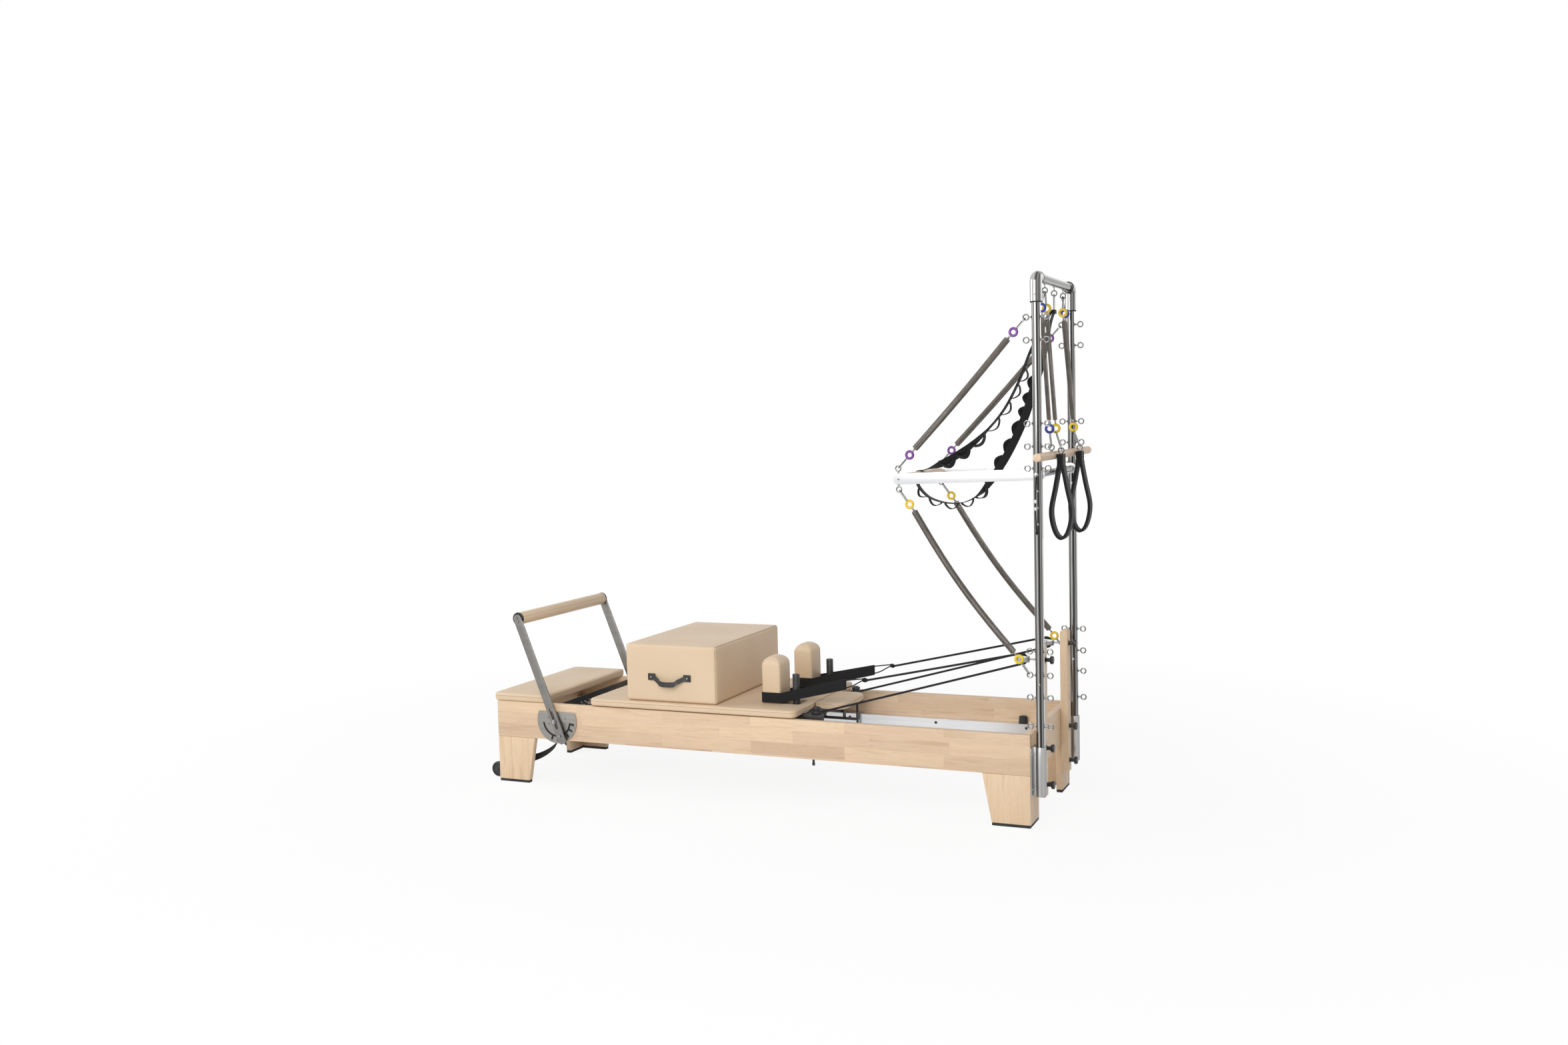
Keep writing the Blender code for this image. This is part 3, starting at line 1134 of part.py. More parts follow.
def build_push_through_bar():
    """Arms with their eye bolts, pivot tube and grip of the bar."""
    pivot = add_pivot("push_through_pivot", (POST_X, 0, PTB_Z), (0, -math.radians(PTB_DROOP), 0))
    half = PTB_ARM_HEIGHT / 2
    plan = arc((0, 0), half, -90, 90, 6) + arc((-PTB_REACH, 0), half, 90, 270, 6)
    inner = PTB_ARM_OUTER_Y - PTB_ARM_THICKNESS
    for side, sign in SIDES.items():
        y = sorted((sign * PTB_ARM_OUTER_Y, sign * inner))
        hole = shaped(rod((0, y[0] - 0.01, 0), (0, y[1] + 0.01, 0), PIN_RADIUS + RUNNING_CLEARANCE, 10))
        pieces = [cut(shaped(prism(plan, "Y", y[0], y[1])), hole)]
        for way in (-1, 1):
            turn = Matrix.Rotation(math.radians(-90 * way), 4, "Y")
            place = Matrix.Translation((-PTB_REACH, sign * PTB_ARM_Y, way * (half + PTB_EYE_OUT)))
            pieces.append(moved(eye_bolt(PTB_EYE_OUT + 3 * FUSE), place @ turn))
        add_node("push_bar_arm_" + side, union(*pieces), "aluminium", pivot)
    reach = inner - GAP
    tube = shaped(rod((0, -reach, 0), (0, reach, 0), PTB_TUBE_RADIUS, 14))
    smooth(add_node("push_bar_tube", tube, "aluminium", pivot))
    grip = shaped(rod((-PTB_REACH, -reach, 0), (-PTB_REACH, reach, 0), PTB_GRIP_RADIUS, 14))
    smooth(add_node("push_bar_grip", grip, "beige_leather", pivot))
    build_lanyard()


def helix_spring(start, end, radius, curls):
    """One unbroken tube: straight end, curls, straight end."""
    a, b = Vector(start), Vector(end)
    along = (b - a).normalized()
    side = Vector((0, 1, 0)).cross(along).normalized()
    other = along.cross(side)
    lead = SPRING_WIRE * 2
    length = (b - a).length - 2 * lead
    mid = radius - SPRING_WIRE
    spots = [a, a + along * lead]
    total = curls * CURL_POINTS
    for k in range(total + 1):
        turn = 2 * math.pi * k / CURL_POINTS
        grow = min(1.0, k / 3, (total - k) / 3)
        spots.append(a + along * (lead + length * (k + 0.5) / (total + 1))
                     + mid * grow * (math.cos(turn) * side + math.sin(turn) * other))
    spots += [b - along * lead, b]
    return spots


def self_gap(spots):
    """Least distance of a coil's wire to its own neighbouring turns."""
    least = 1.0
    for i, p in enumerate(spots):
        for q in spots[i + CURL_POINTS - 2:]:
            least = min(least, (p - q).length - 2 * SPRING_WIRE)
    return least


def build_lanyard():
    """Cord that hangs from the near pin."""
    y = -(POST_Y + POST_RADIUS + 0.004 + PIN_HEAD / 2)
    top = PTB_Z - PIN_RADIUS * 1.9 - GAP
    count = 10
    spots = []
    for k in range(count + 1):
        t = k / count
        spots.append((POST_X - LANYARD_SWAY * math.sin(math.pi * t), y, top + (LANYARD_BOTTOM - top) * t))
    add_node("pin_lanyard", shaped(tube_loop(spots, LANYARD_RADIUS, 6, closed=False)), "black_webbing")


def snap_hook(start, end):
    """Long oval link; its wire passes through the start and the end."""
    a, b = Vector(start), Vector(end)
    along = (b - a).normalized()
    across = Vector((0, 1, 0))
    across = (across - along * across.dot(along)).normalized()
    first, last = a + along * HOOK_HALF_WIDTH, b - along * HOOK_HALF_WIDTH
    spots = []
    for centre, turn in ((last, 0), (first, 180)):
        for k in range(3):
            angle = math.radians(turn - 60 + k * 60)
            spots.append(centre + HOOK_HALF_WIDTH * (math.cos(angle) * along + math.sin(angle) * across))
    return tube_loop(spots, HOOK_WIRE, 3)


def ring_and_stem():
    """Ring at the origin with its stem along +X into the spring."""
    turns = [2 * math.pi * k / 6 for k in range(6)]
    spots = [(RING_RADIUS * math.cos(t), 0, RING_RADIUS * math.sin(t)) for t in turns]
    stem = rod((RING_RADIUS, 0, 0), (RING_RADIUS + RING_WIRE + RING_STEM, 0, 0), RING_STEM_RADIUS, 5)
    return union(shaped(tube_loop(spots, RING_WIRE, 4)), shaped(stem))


def spring_mesh(label, hook_a, ring_a, ring_b, hook_b, radius, curls):
    """Spring with a ring and a snap hook at each end, as one piece.

    The hooks' wires reach the first and last points; the rings' centres are the other two.
    """
    a, b = Vector(ring_a), Vector(ring_b)
    along = (b - a).normalized()
    pieces = []
    coil_ends = []
    for hook, centre, way in ((Vector(hook_a), a, along), (Vector(hook_b), b, -along)):
        pieces.append(shaped(snap_hook(hook, centre - way * RING_RADIUS)))
        turn = Vector((1, 0, 0)).rotation_difference(way).to_matrix().to_4x4()
        pieces.append(moved(ring_and_stem(), Matrix.Translation(centre) @ turn))
        coil_ends.append(centre + way * (RING_RADIUS + RING_WIRE + RING_STEM - 2 * FUSE))
    spots = helix_spring(coil_ends[0], coil_ends[1], radius, curls)
    print(label, "least gap to itself in mm:", round(1000 * self_gap(spots), 2))
    pieces.append(shaped(tube_loop(spots, SPRING_WIRE, 6, closed=False)))
    return union(pieces[4], pieces[1], pieces[3], pieces[0], pieces[2])


def build_long_springs():
    """Four springs between the push-through bar and the posts, in two strengths."""
    droop = math.radians(PTB_DROOP)
    for level, way, eye_z, finish in (("high", 1, LONG_SPRING_EYE_HIGH, "purple_paint"),
                                      ("low", -1, LONG_SPRING_EYE_LOW, "yellow_paint")):
        out = way * (PTB_ARM_HEIGHT / 2 + PTB_EYE_OUT)
        for side, sign in SIDES.items():
            bar_eye = Vector((POST_X - PTB_REACH * math.cos(droop) - out * math.sin(droop),
                              sign * PTB_ARM_Y,
                              PTB_Z - PTB_REACH * math.sin(droop) + out * math.cos(droop)))
            post_eye = Vector((POST_X - EYE_OFFSET, sign * POST_Y, eye_z))
            along = (post_eye - bar_eye).normalized()
            mesh = spring_mesh("long spring", eye_seat(bar_eye, along), bar_eye + along * RING_TO_EYE,
                               post_eye - along * RING_TO_EYE, eye_seat(post_eye, -along),
                               LONG_SPRING_RADIUS, LONG_SPRING_CURLS)
            add_node("long_spring_" + side + "_" + level, mesh, finish)


def build_roll_down():
    """Short springs under the top bar, the wooden bar that hangs from them and the foot loops."""
    eye_z = DOWEL_Z + DOWEL_RADIUS + EYE_RING + EYE_WIRE + 0.002
    up = Matrix.Rotation(math.radians(-90), 4, "Y")
    dowel = [shaped(barrel((DOWEL_X, 0, DOWEL_Z), DOWEL_LENGTH / 2, DOWEL_RADIUS, 0.003, 16))]
    top_eye_z = TOP_BAR_Z - TOP_EYE_DROP
    for (side, sign), loop_y in zip(SIDES.items(), LOOP_Y):
        top_eye = Vector((POST_X, sign * TOP_EYE_Y, top_eye_z))
        dowel_eye = Vector((DOWEL_X, sign * DOWEL_EYE_Y, eye_z))
        dowel.append(moved(eye_bolt(eye_z - DOWEL_Z), Matrix.Translation(dowel_eye) @ up))
        loop_eye = Vector((LOOP_X, loop_y, LOOP_TOP_Z))
        shift = HOOK_WIRE + 2 * GAP
        plans = (("blue", -shift, Vector((POST_X - shift, sign * BLUE_TOP_Y, HANGER_TOP_Z)),
                  Vector((DOWEL_X - 0.008, sign * BLUE_LOW_Y, HANGER_Z)), dowel_eye),
                 ("yellow", shift, Vector((POST_X + shift, sign * YELLOW_TOP_Y, HANGER_TOP_Z)),
                  Vector((DOWEL_X + 0.004, sign * YELLOW_LOW_Y, HANGER_Z)), loop_eye))
        for colour, aside, top_ring, low_ring, low_eye in plans:
            start = hook_on_rim(top_eye, Vector((0, 0, -1)), top_ring, aside, HOOK_SEAT + GAP)
            end = hook_on_rim(low_eye, Vector((0, 0, 1)), low_ring)
            mesh = spring_mesh("short spring", start, top_ring, low_ring, end, SHORT_SPRING_RADIUS,
                               SHORT_SPRING_CURLS)
            add_node("short_spring_" + side + "_" + colour, mesh, colour + "_paint")
        build_foot_loop(side, loop_y, up)
    smooth(add_node("roll_down_bar", union(*dowel), "beech"))


def build_foot_loop(side, y, up):
    """Webbing loop with its eye, hung at its pivot."""
    pivot = add_pivot("foot_loop_pivot_" + side, (LOOP_X, y, LOOP_TOP_Z))
    top = -EYE_RING - EYE_WIRE
    neck = LOOP_THICKNESS / 2 + 0.0004
    half = LOOP_HALF_WIDTH
    right = [(neck, top), (neck, -LOOP_NECK), (half * 0.62, -LOOP_HEIGHT * 0.42),
             (half, -LOOP_HEIGHT * 0.66),
             (half * 0.92, -LOOP_HEIGHT * 0.82), (half * 0.5, -LOOP_HEIGHT * 0.95)]
    left = [(-x, z) for x, z in right[::-1]]
    route = [(x, 0, z) for x, z in right + [(0.0, -LOOP_HEIGHT)] + left]
    loop = shaped(band(route, LOOP_STRAP_WIDTH, LOOP_THICKNESS, (0, 1, 0)))
    seam = shaped(block((-0.002, 0.002), (-LOOP_STRAP_WIDTH / 2 + FUSE, LOOP_STRAP_WIDTH / 2 - FUSE),
                        (-LOOP_NECK + 0.004, top - FUSE)))
    add_node("foot_loop_" + side, union(loop, seam, moved(eye_bolt(-top + 0.006), up)), "black_webbing",
             pivot)


def build_loop_strap():
    """Strap from the top bar round the push-through bar's grip and back, with small hand loops."""
    droop = math.radians(PTB_DROOP)
    grip = (POST_X - PTB_REACH * math.cos(droop), PTB_Z - PTB_REACH * math.sin(droop))
    wrap = PTB_GRIP_RADIUS + LOOP_STRAP_THICKNESS / 2 + 2 * RUNNING_CLEARANCE
    down_run = [(POST_X - x, z) for x, z in DOWN_RUN]
    up_run = [(POST_X - x, z) for x, z in UP_RUN]
    route = [(POST_X - 0.004, STRAP_TOP_Z)] + down_run + arc(grip, wrap, 75, 225, 6) + up_run
    route.append((POST_X + 0.004, STRAP_TOP_Z))
    pieces = [shaped(band([(x, 0, z) for x, z in route], LOOP_STRAP_BAND, LOOP_STRAP_THICKNESS, (0, 1, 0)))]
    for run, way in ((down_run, 1), (up_run, -1)):
        for a, b in zip(run, run[1:]):
            start, end = Vector((a[0], 0, a[1])), Vector((b[0], 0, b[1]))
            along = (end - start).normalized()
            out = Vector((-along.z, 0, along.x)) * way
            spots = []
            for k in range(5):
                bulge = SMALL_LOOP_BULGE * math.sin(math.pi * k / 4) ** 0.7 if 0 < k < 4 else 0.0
                spots.append(start.lerp(end, 0.14 + 0.72 * k / 4)
                             + out * (bulge + LOOP_STRAP_THICKNESS * 0.5))
            pieces.append(shaped(band(spots, LOOP_STRAP_BAND * 0.7, LOOP_STRAP_THICKNESS, (0, 1, 0))))
    top_eye = Vector((POST_X, 0, TOP_BAR_Z - TOP_EYE_DROP))
    clip = snap_hook(eye_seat(top_eye, Vector((0, 0, -1))), (POST_X, 0, STRAP_TOP_Z - 0.006))
    joint = block((POST_X - 0.005, POST_X + 0.005), (-LOOP_STRAP_BAND * 0.3, LOOP_STRAP_BAND * 0.3),
                  (STRAP_TOP_Z - 0.012, STRAP_TOP_Z))
    add_node("loop_strap", union(*pieces, shaped(joint), shaped(clip)), "black_webbing")


def build_foot_end():
    """Transport wheels and the strap under the foot end."""
    half = TRANSPORT_WIDTH / 2
    bore = AXLE_RADIUS + RUNNING_CLEARANCE
    edge = TRANSPORT_RADIUS - 0.004
    profile = ((bore, -half), (edge, -half), (TRANSPORT_RADIUS, 0), (edge, half), (bore, half))
    for side, sign in SIDES.items():
        wheel = shaped(turned(profile, (0, 0, 0), (0, 1, 0), 12))
        place = (TRANSPORT_X, sign * TRANSPORT_Y, TRANSPORT_Z)
        smooth(add_node("transport_wheel_" + side, wheel, "black_plastic", place=place))
    route = [(x, -CARRY_STRAP_Y, z) for x, z in CARRY_STRAP_ROUTE]
    strap = shaped(band(route, CARRY_STRAP_WIDTH, CARRY_STRAP_THICKNESS, (0, 1, 0)))
    add_node("carry_strap", strap, "black_webbing")


clear_scene()
root = bpy.data.objects.new("reformer", None)
bpy.context.collection.objects.link(root)
root.location = (-ORIGIN_X, 0, 0)
build_frame()
build_tracks()
build_platform()
build_gear_plates()
build_foot_bar()
build_carriage()
build_straps_and_ropes()
build_sitting_box()
build_tower()
build_push_through_bar()
build_long_springs()
build_roll_down()
build_loop_strap()
build_foot_end()
bpy.context.view_layer.update()
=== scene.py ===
import math

import bmesh
import bpy
from mathutils import Matrix, Vector


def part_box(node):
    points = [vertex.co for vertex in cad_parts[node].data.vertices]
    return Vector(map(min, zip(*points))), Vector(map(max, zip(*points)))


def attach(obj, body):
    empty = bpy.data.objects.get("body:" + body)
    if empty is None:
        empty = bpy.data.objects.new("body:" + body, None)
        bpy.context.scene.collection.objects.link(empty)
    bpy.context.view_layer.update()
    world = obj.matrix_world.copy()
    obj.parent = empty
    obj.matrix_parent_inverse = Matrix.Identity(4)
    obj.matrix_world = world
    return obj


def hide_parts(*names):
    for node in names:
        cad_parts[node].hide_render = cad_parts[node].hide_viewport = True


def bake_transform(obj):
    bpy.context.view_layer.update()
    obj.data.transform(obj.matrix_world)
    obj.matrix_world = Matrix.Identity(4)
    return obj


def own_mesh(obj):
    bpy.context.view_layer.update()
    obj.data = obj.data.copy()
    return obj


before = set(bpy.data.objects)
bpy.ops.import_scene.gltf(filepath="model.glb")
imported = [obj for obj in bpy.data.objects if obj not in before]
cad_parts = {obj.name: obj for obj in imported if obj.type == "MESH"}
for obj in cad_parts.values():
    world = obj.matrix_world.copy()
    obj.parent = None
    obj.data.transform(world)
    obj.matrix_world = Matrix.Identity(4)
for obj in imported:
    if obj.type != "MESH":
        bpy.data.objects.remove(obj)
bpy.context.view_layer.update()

# Camera: it stands in front of the near rail, towards the tower end, and looks back along the
# machine. Its place and lens come from the frame's straight edges. Lengths are counted from the
# outside of the machine's foot end, heights from the floor and widths from the middle.
foot_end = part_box("side_rail_near")[0][0]
yaw, pitch, roll = 0.4068, 0.0738, -0.0242


def at(x, y, z):
    """Point at a length from the foot end, a width from the middle and a height."""
    return Vector((foot_end + x, y, z))


look = Vector((-math.sin(yaw) * math.cos(pitch), math.cos(yaw) * math.cos(pitch), -math.sin(pitch)))
level = Vector((math.cos(yaw), math.sin(yaw), 0))
right = level * math.cos(roll) + level.cross(look) * math.sin(roll)
turned_camera = Matrix((right, right.cross(look), -look)).transposed().to_4x4()
camera_data = bpy.data.cameras.new("camera")
camera_data.sensor_width = 36.0
camera_data.lens = 33.21
camera_data.clip_end = 60.0
camera = bpy.data.objects.new("camera", camera_data)
camera.matrix_world = Matrix.Translation(at(3.8615, -5.9164, 1.6615)) @ turned_camera
bpy.context.collection.objects.link(camera)
bpy.context.scene.camera = camera
bpy.context.scene.view_settings.view_transform = "Standard"

# Lanyard: a thin limp black cord that hangs from the push-through bar's near pin. It is declared
# here, and the last section gives it its material, its beads and its knot.
lanyard_top, lanyard_bottom, lanyard_steps = at(2.5375, -0.346, 1.3975), at(2.5375, -0.346, 1.172), 19
lanyard_radius, lanyard_sway = 0.0025, Vector((-0.004, 0, 0))


def sagging(start, end, down, steps):
    """Points from one place to another that sag by a step at the middle."""
    return [start.lerp(end, k / steps) + down * math.sin(math.pi * k / steps) for k in range(steps + 1)]


lanyard_line = sagging(lanyard_top, lanyard_bottom, lanyard_sway, lanyard_steps)
lanyard_curve = bpy.data.curves.new("pin_cord", "CURVE")
lanyard_curve.dimensions = "3D"
lanyard_curve.bevel_depth = lanyard_radius
lanyard_curve.use_fill_caps = True
spline = lanyard_curve.splines.new("POLY")
spline.points.add(lanyard_steps)
for point, place in zip(spline.points, lanyard_line):
    point.co = (*place, 1.0)
lanyard = bpy.data.objects.new("pin_cord", lanyard_curve)
bpy.context.collection.objects.link(lanyard)
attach(lanyard, "frame")
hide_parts("pin_lanyard")

# Studio: a floor of pale paper that keeps the shadow and goes to white away from the machine, an
# even white surround and three soft lamps, the largest one high on the near side.
surround_colour, surround_strength = (0.97, 0.98, 1.0, 1.0), 0.34
floor_half, floor_tone = 14.0, 0.90
white_from, white_to, least_white = 1.6, 4.0, 0.89
lamp_target = Vector((0.0, 0.0, 0.6))
lamps = (((0.5, -5.4, 3.3), 4.0, 206), ((-4.2, -1.0, 3.2), 3.0, 70), ((3.6, 3.2, 3.4), 3.0, 31))


def feed(tree, node, inputs):
    """Give a node its inputs, each a value or another node's socket."""
    for name, value in inputs.items():
        if isinstance(value, bpy.types.NodeSocket):
            tree.links.new(value, node.inputs[name])
        else:
            node.inputs[name].default_value = value
    return node


def add_node(tree, kind, inputs, **settings):
    """New shader node of a kind, with its settings and inputs."""
    node = tree.nodes.new("ShaderNode" + kind)
    for name, value in settings.items():
        setattr(node, name, value)
    return feed(tree, node, inputs)


def new_material(name, inputs):
    """Material whose Principled shader has some plain values; gives it and its node tree."""
    material = bpy.data.materials.new(name)
    material.use_nodes = True
    feed(material.node_tree, material.node_tree.nodes["Principled BSDF"], inputs)
    return material, material.node_tree


def seen_by_camera_or_gloss(tree):
    """Light Path value that is 1 for camera, glossy and transmission rays."""
    path = add_node(tree, "LightPath", {}).outputs
    camera_or_gloss = add_node(tree, "Math", {0: path["Is Camera Ray"], 1: path["Is Glossy Ray"]},
                               operation="MAXIMUM")
    return add_node(tree, "Math", {0: camera_or_gloss.outputs[0], 1: path["Is Transmission Ray"]},
                    operation="MAXIMUM").outputs[0]


world = bpy.data.worlds.new("studio")
bpy.context.scene.world = world
world.use_nodes = True
tree = world.node_tree
surround = feed(tree, tree.nodes["Background"],
                {"Color": surround_colour, "Strength": surround_strength})
white = add_node(tree, "Background", {"Color": (1.0, 1.0, 1.0, 1.0), "Strength": 1.0})
blend = add_node(tree, "MixShader", {0: seen_by_camera_or_gloss(tree), 1: surround.outputs[0],
                                     2: white.outputs[0]})
feed(tree, tree.nodes["World Output"], {"Surface": blend.outputs[0]})

bm = bmesh.new()
bmesh.ops.create_grid(bm, x_segments=1, y_segments=1, size=floor_half)
floor_mesh = bpy.data.meshes.new("floor")
bm.to_mesh(floor_mesh)
bm.free()
paper, tree = new_material("floor_paper", {"Base Color": (floor_tone, floor_tone, floor_tone, 1.0),
                                           "Roughness": 0.9})
floor_place = add_node(tree, "TexCoord", {}).outputs["Object"]
distance = add_node(tree, "VectorMath", {0: floor_place}, operation="LENGTH").outputs["Value"]
whitening = add_node(tree, "MapRange", {"Value": distance, "From Min": white_from, "From Max": white_to,
                                        "To Min": least_white, "To Max": 1.0})
veil = add_node(tree, "Math", {0: seen_by_camera_or_gloss(tree), 1: whitening.outputs["Result"]},
                operation="MULTIPLY")
glow = add_node(tree, "Emission", {"Strength": 1.0})
blend = add_node(tree, "MixShader", {0: veil.outputs[0], 1: tree.nodes["Principled BSDF"].outputs[0],
                                     2: glow.outputs[0]})
feed(tree, tree.nodes["Material Output"], {"Surface": blend.outputs[0]})
floor_mesh.materials.append(paper)
floor = bpy.data.objects.new("floor", floor_mesh)
bpy.context.collection.objects.link(floor)

for number, (place, size, watts) in enumerate(lamps):
    lamp_data = bpy.data.lights.new("lamp_" + str(number), "AREA")
    lamp_data.shape = "SQUARE"
    lamp_data.size = size
    lamp_data.energy = watts
    lamp = bpy.data.objects.new("lamp_" + str(number), lamp_data)
    lamp.location = place
    lamp.rotation_euler = (lamp_target - Vector(place)).to_track_quat("-Z", "Y").to_euler()
    bpy.context.collection.objects.link(lamp)

# Wooden frame: two side rails and two end boards of finger-jointed staves, lacquered clear,
# on four corner legs made of two upright boards each, with black rubber feet under them.
sides = {"near": -1, "far": 1}
quarter = math.pi / 2
gap = 0.0003
rail_low, rail_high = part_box("side_rail_near")
frame_length = rail_high[0] - rail_low[0]
half_width = -rail_low[1]
board_thickness = rail_high[1] - rail_low[1]
inner_y = half_width - board_thickness - gap
rail_bottom, rail_top = rail_low[2], rail_high[2]
board_edge = 0.0025
leg_width_top, leg_width_foot, leg_end_width, leg_top = 0.197, 0.160, 0.1445, rail_bottom - 0.0004
foot_thickness, foot_inset, foot_edge = 0.012, 0.001, 0.002
wood_light, wood_dark = (0.815, 0.625, 0.430), (0.655, 0.465, 0.325)


def mapped(tree, turn=(0, 0, 0), stretch=(1, 1, 1), source="Object"):
    """Object or UV coordinates in metres, turned and stretched."""
    place = add_node(tree, "TexCoord", {}).outputs[source]
    return add_node(tree, "Mapping", {"Vector": place, "Rotation": turn, "Scale": stretch}).outputs[0]


def noise(tree, vector, scale, detail=4.0, roughness=0.5):
    """Soft random pattern between 0 and 1."""
    return add_node(tree, "TexNoise", {"Vector": vector, "Scale": scale, "Detail": detail,
                                       "Roughness": roughness}).outputs["Fac"]


def ramp(tree, value, stops):
    """Colours at places along a value."""
    node = add_node(tree, "ValToRGB", {"Fac": value})
    elements = node.color_ramp.elements
    while len(elements) < len(stops):
        elements.new(0.5)
    for element, (place, colour) in zip(elements, stops):
        element.position = place
        element.color = (*colour, 1.0)
    return node.outputs["Color"]


def ranged(tree, value, low, high):
    """The middle of a noise spread between two values."""
    return add_node(tree, "MapRange", {"Value": value, "From Min": 0.3, "From Max": 0.7,
                                       "To Min": low, "To Max": high}).outputs["Result"]


def mixed(tree, amount, first, second, kind="MIX"):
    """Two colours mixed by an amount."""
    return add_node(tree, "Mix", {0: amount, 6: first, 7: second}, data_type="RGBA",
                    blend_type=kind).outputs[2]


def finished(tree, height, strength, distance, inputs):
    """Give the Principled shader its patterned inputs and a bump."""
    bump = add_node(tree, "Bump", {"Height": height, "Strength": strength, "Distance": distance})
    feed(tree, tree.nodes["Principled BSDF"], {**inputs, "Normal": bump.outputs["Normal"]})


def jointed_wood(name, turn, stave_length, stave_height, light, dark):
    """Lacquered staves glued edge to edge; the turn brings the grain onto X and their height onto Y."""
    material, tree = new_material(name, {"Coat Weight": 0.12, "Coat Roughness": 0.35})
    plain = mapped(tree, turn)
    staves = add_node(tree, "TexBrick", {"Vector": plain, "Color1": (0.0, 0.0, 0.0, 1.0),
                                         "Color2": (1.0, 1.0, 1.0, 1.0), "Mortar": (0.5, 0.5, 0.5, 1.0),
                                         "Mortar Size": 0.0003, "Scale": 1.0,
                                         "Brick Width": stave_length, "Row Height": stave_height},
                      offset=0.43, offset_frequency=2, squash=0.8, squash_frequency=3)
    stave = staves.outputs["Color"]
    shifted = add_node(tree, "VectorMath", {0: stave, 1: (3.0, 5.0, 4.0), 2: plain},
                       operation="MULTIPLY_ADD").outputs[0]
    along = add_node(tree, "Mapping", {"Vector": shifted, "Scale": (1.2, 16.0, 16.0)}).outputs[0]
    rings = noise(tree, along, 3.0, 5.0, 0.55)
    pores = add_node(tree, "Mapping", {"Vector": shifted, "Scale": (9.0, 260.0, 260.0)}).outputs[0]
    flecks = noise(tree, pores, 3.0, 2.0)
    middle = tuple((a + b) / 2 for a, b in zip(light, dark))
    tone = ramp(tree, stave, ((0.0, light), (0.45, middle), (0.8, light), (1.0, dark)))
    grain = ramp(tree, rings, ((0.30, (0.80, 0.72, 0.62)), (0.47, (1.0, 0.99, 0.97)),
                               (0.62, (0.93, 0.88, 0.82)), (0.75, (1.03, 1.01, 1.0))))
    dots = ramp(tree, flecks, ((0.30, (0.80, 0.72, 0.63)), (0.42, (1.0, 1.0, 1.0))))
    coloured = mixed(tree, 0.75, tone, grain, "MULTIPLY")
    finished(tree, flecks, 0.10, 0.0004, {"Base Color": mixed(tree, 0.55, coloured, dots, "MULTIPLY"),
                                          "Roughness": ranged(tree, rings, 0.42, 0.54)})
    return material


def mottled(name, light, dark, scale, roughness, grain_scale=400.0, grain=0.1, stretch=(1, 1, 1),
            metallic=0.0, cells=False):
    """Surface whose tone and gloss wander slowly and whose fine grain is a bump."""
    material, tree = new_material(name, {"Metallic": metallic})
    vector = mapped(tree, stretch=stretch)
    slow = noise(tree, vector, scale, 3.0)
    if cells:
        fine = add_node(tree, "TexVoronoi", {"Vector": vector, "Scale": grain_scale}).outputs["Distance"]
    else:
        fine = noise(tree, vector, grain_scale, 2.0)
    finished(tree, fine, grain, 0.0006 if cells else 0.0003,
             {"Base Color": ramp(tree, slow, ((0.32, dark), (0.62, light))),
              "Roughness": ranged(tree, slow, roughness + 0.06, roughness - 0.04)})
    return material


def bevelled(bm, edges, size, segments=2):
    """Round some edges off."""
    bmesh.ops.bevel(bm, geom=list(edges), offset=size, offset_type="OFFSET", segments=segments,
                    profile=0.5, affect="EDGES", material=-1, clamp_overlap=True)


def slab(bm, x, y, z, edge, segments=2):
    """Board with eased edges between pairs of limits; gives its vertices."""
    before = set(bm.verts)
    middle = [(a + b) / 2 for a, b in (x, y, z)]
    size = [abs(b - a) for a, b in (x, y, z)]
    place = Matrix.Translation(middle) @ Matrix.Diagonal((*size, 1.0))
    cube = bmesh.ops.create_cube(bm, size=1.0, matrix=place)
    bevelled(bm, {e for v in cube["verts"] for e in v.link_edges}, edge, segments)
    return [v for v in bm.verts if v not in before]


def add_piece(name, bm, material, body, hides=(), sharp=32):
    """Link a mesh as one piece that rides on a body, or on none."""
    mesh = bpy.data.meshes.new(name)
    bmesh.ops.recalc_face_normals(bm, faces=bm.faces)
    bm.to_mesh(mesh)
    bm.free()
    mesh.materials.append(material)
    mesh.shade_smooth()
    mesh.set_sharp_from_angle(angle=math.radians(sharp))
    piece = bpy.data.objects.new(name, mesh)
    bpy.context.collection.objects.link(piece)
    if body:
        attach(piece, body)
    if hides:
        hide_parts(*hides)
    return piece


wood_along_x = jointed_wood("staves_lengthwise", (quarter, 0, 0), 0.43, 0.055, wood_light, wood_dark)
wood_along_y = jointed_wood("staves_crosswise", (quarter, 0, quarter), 0.40, 0.055, wood_light, wood_dark)
wood_upright = jointed_wood("staves_upright", (0, quarter, 0), 0.60, 0.060, wood_light, wood_dark)
rubber = mottled("black_rubber_moulded", (0.024, 0.024, 0.025), (0.012, 0.012, 0.012), 30.0, 0.72)

for side, sign in sides.items():
    bm = bmesh.new()
    slab(bm, (foot_end, foot_end + frame_length),
         (sign * half_width, sign * (half_width - board_thickness)), (rail_bottom, rail_top), board_edge)
    add_piece("rail_" + side, bm, wood_along_x, "frame", ["side_rail_" + side])

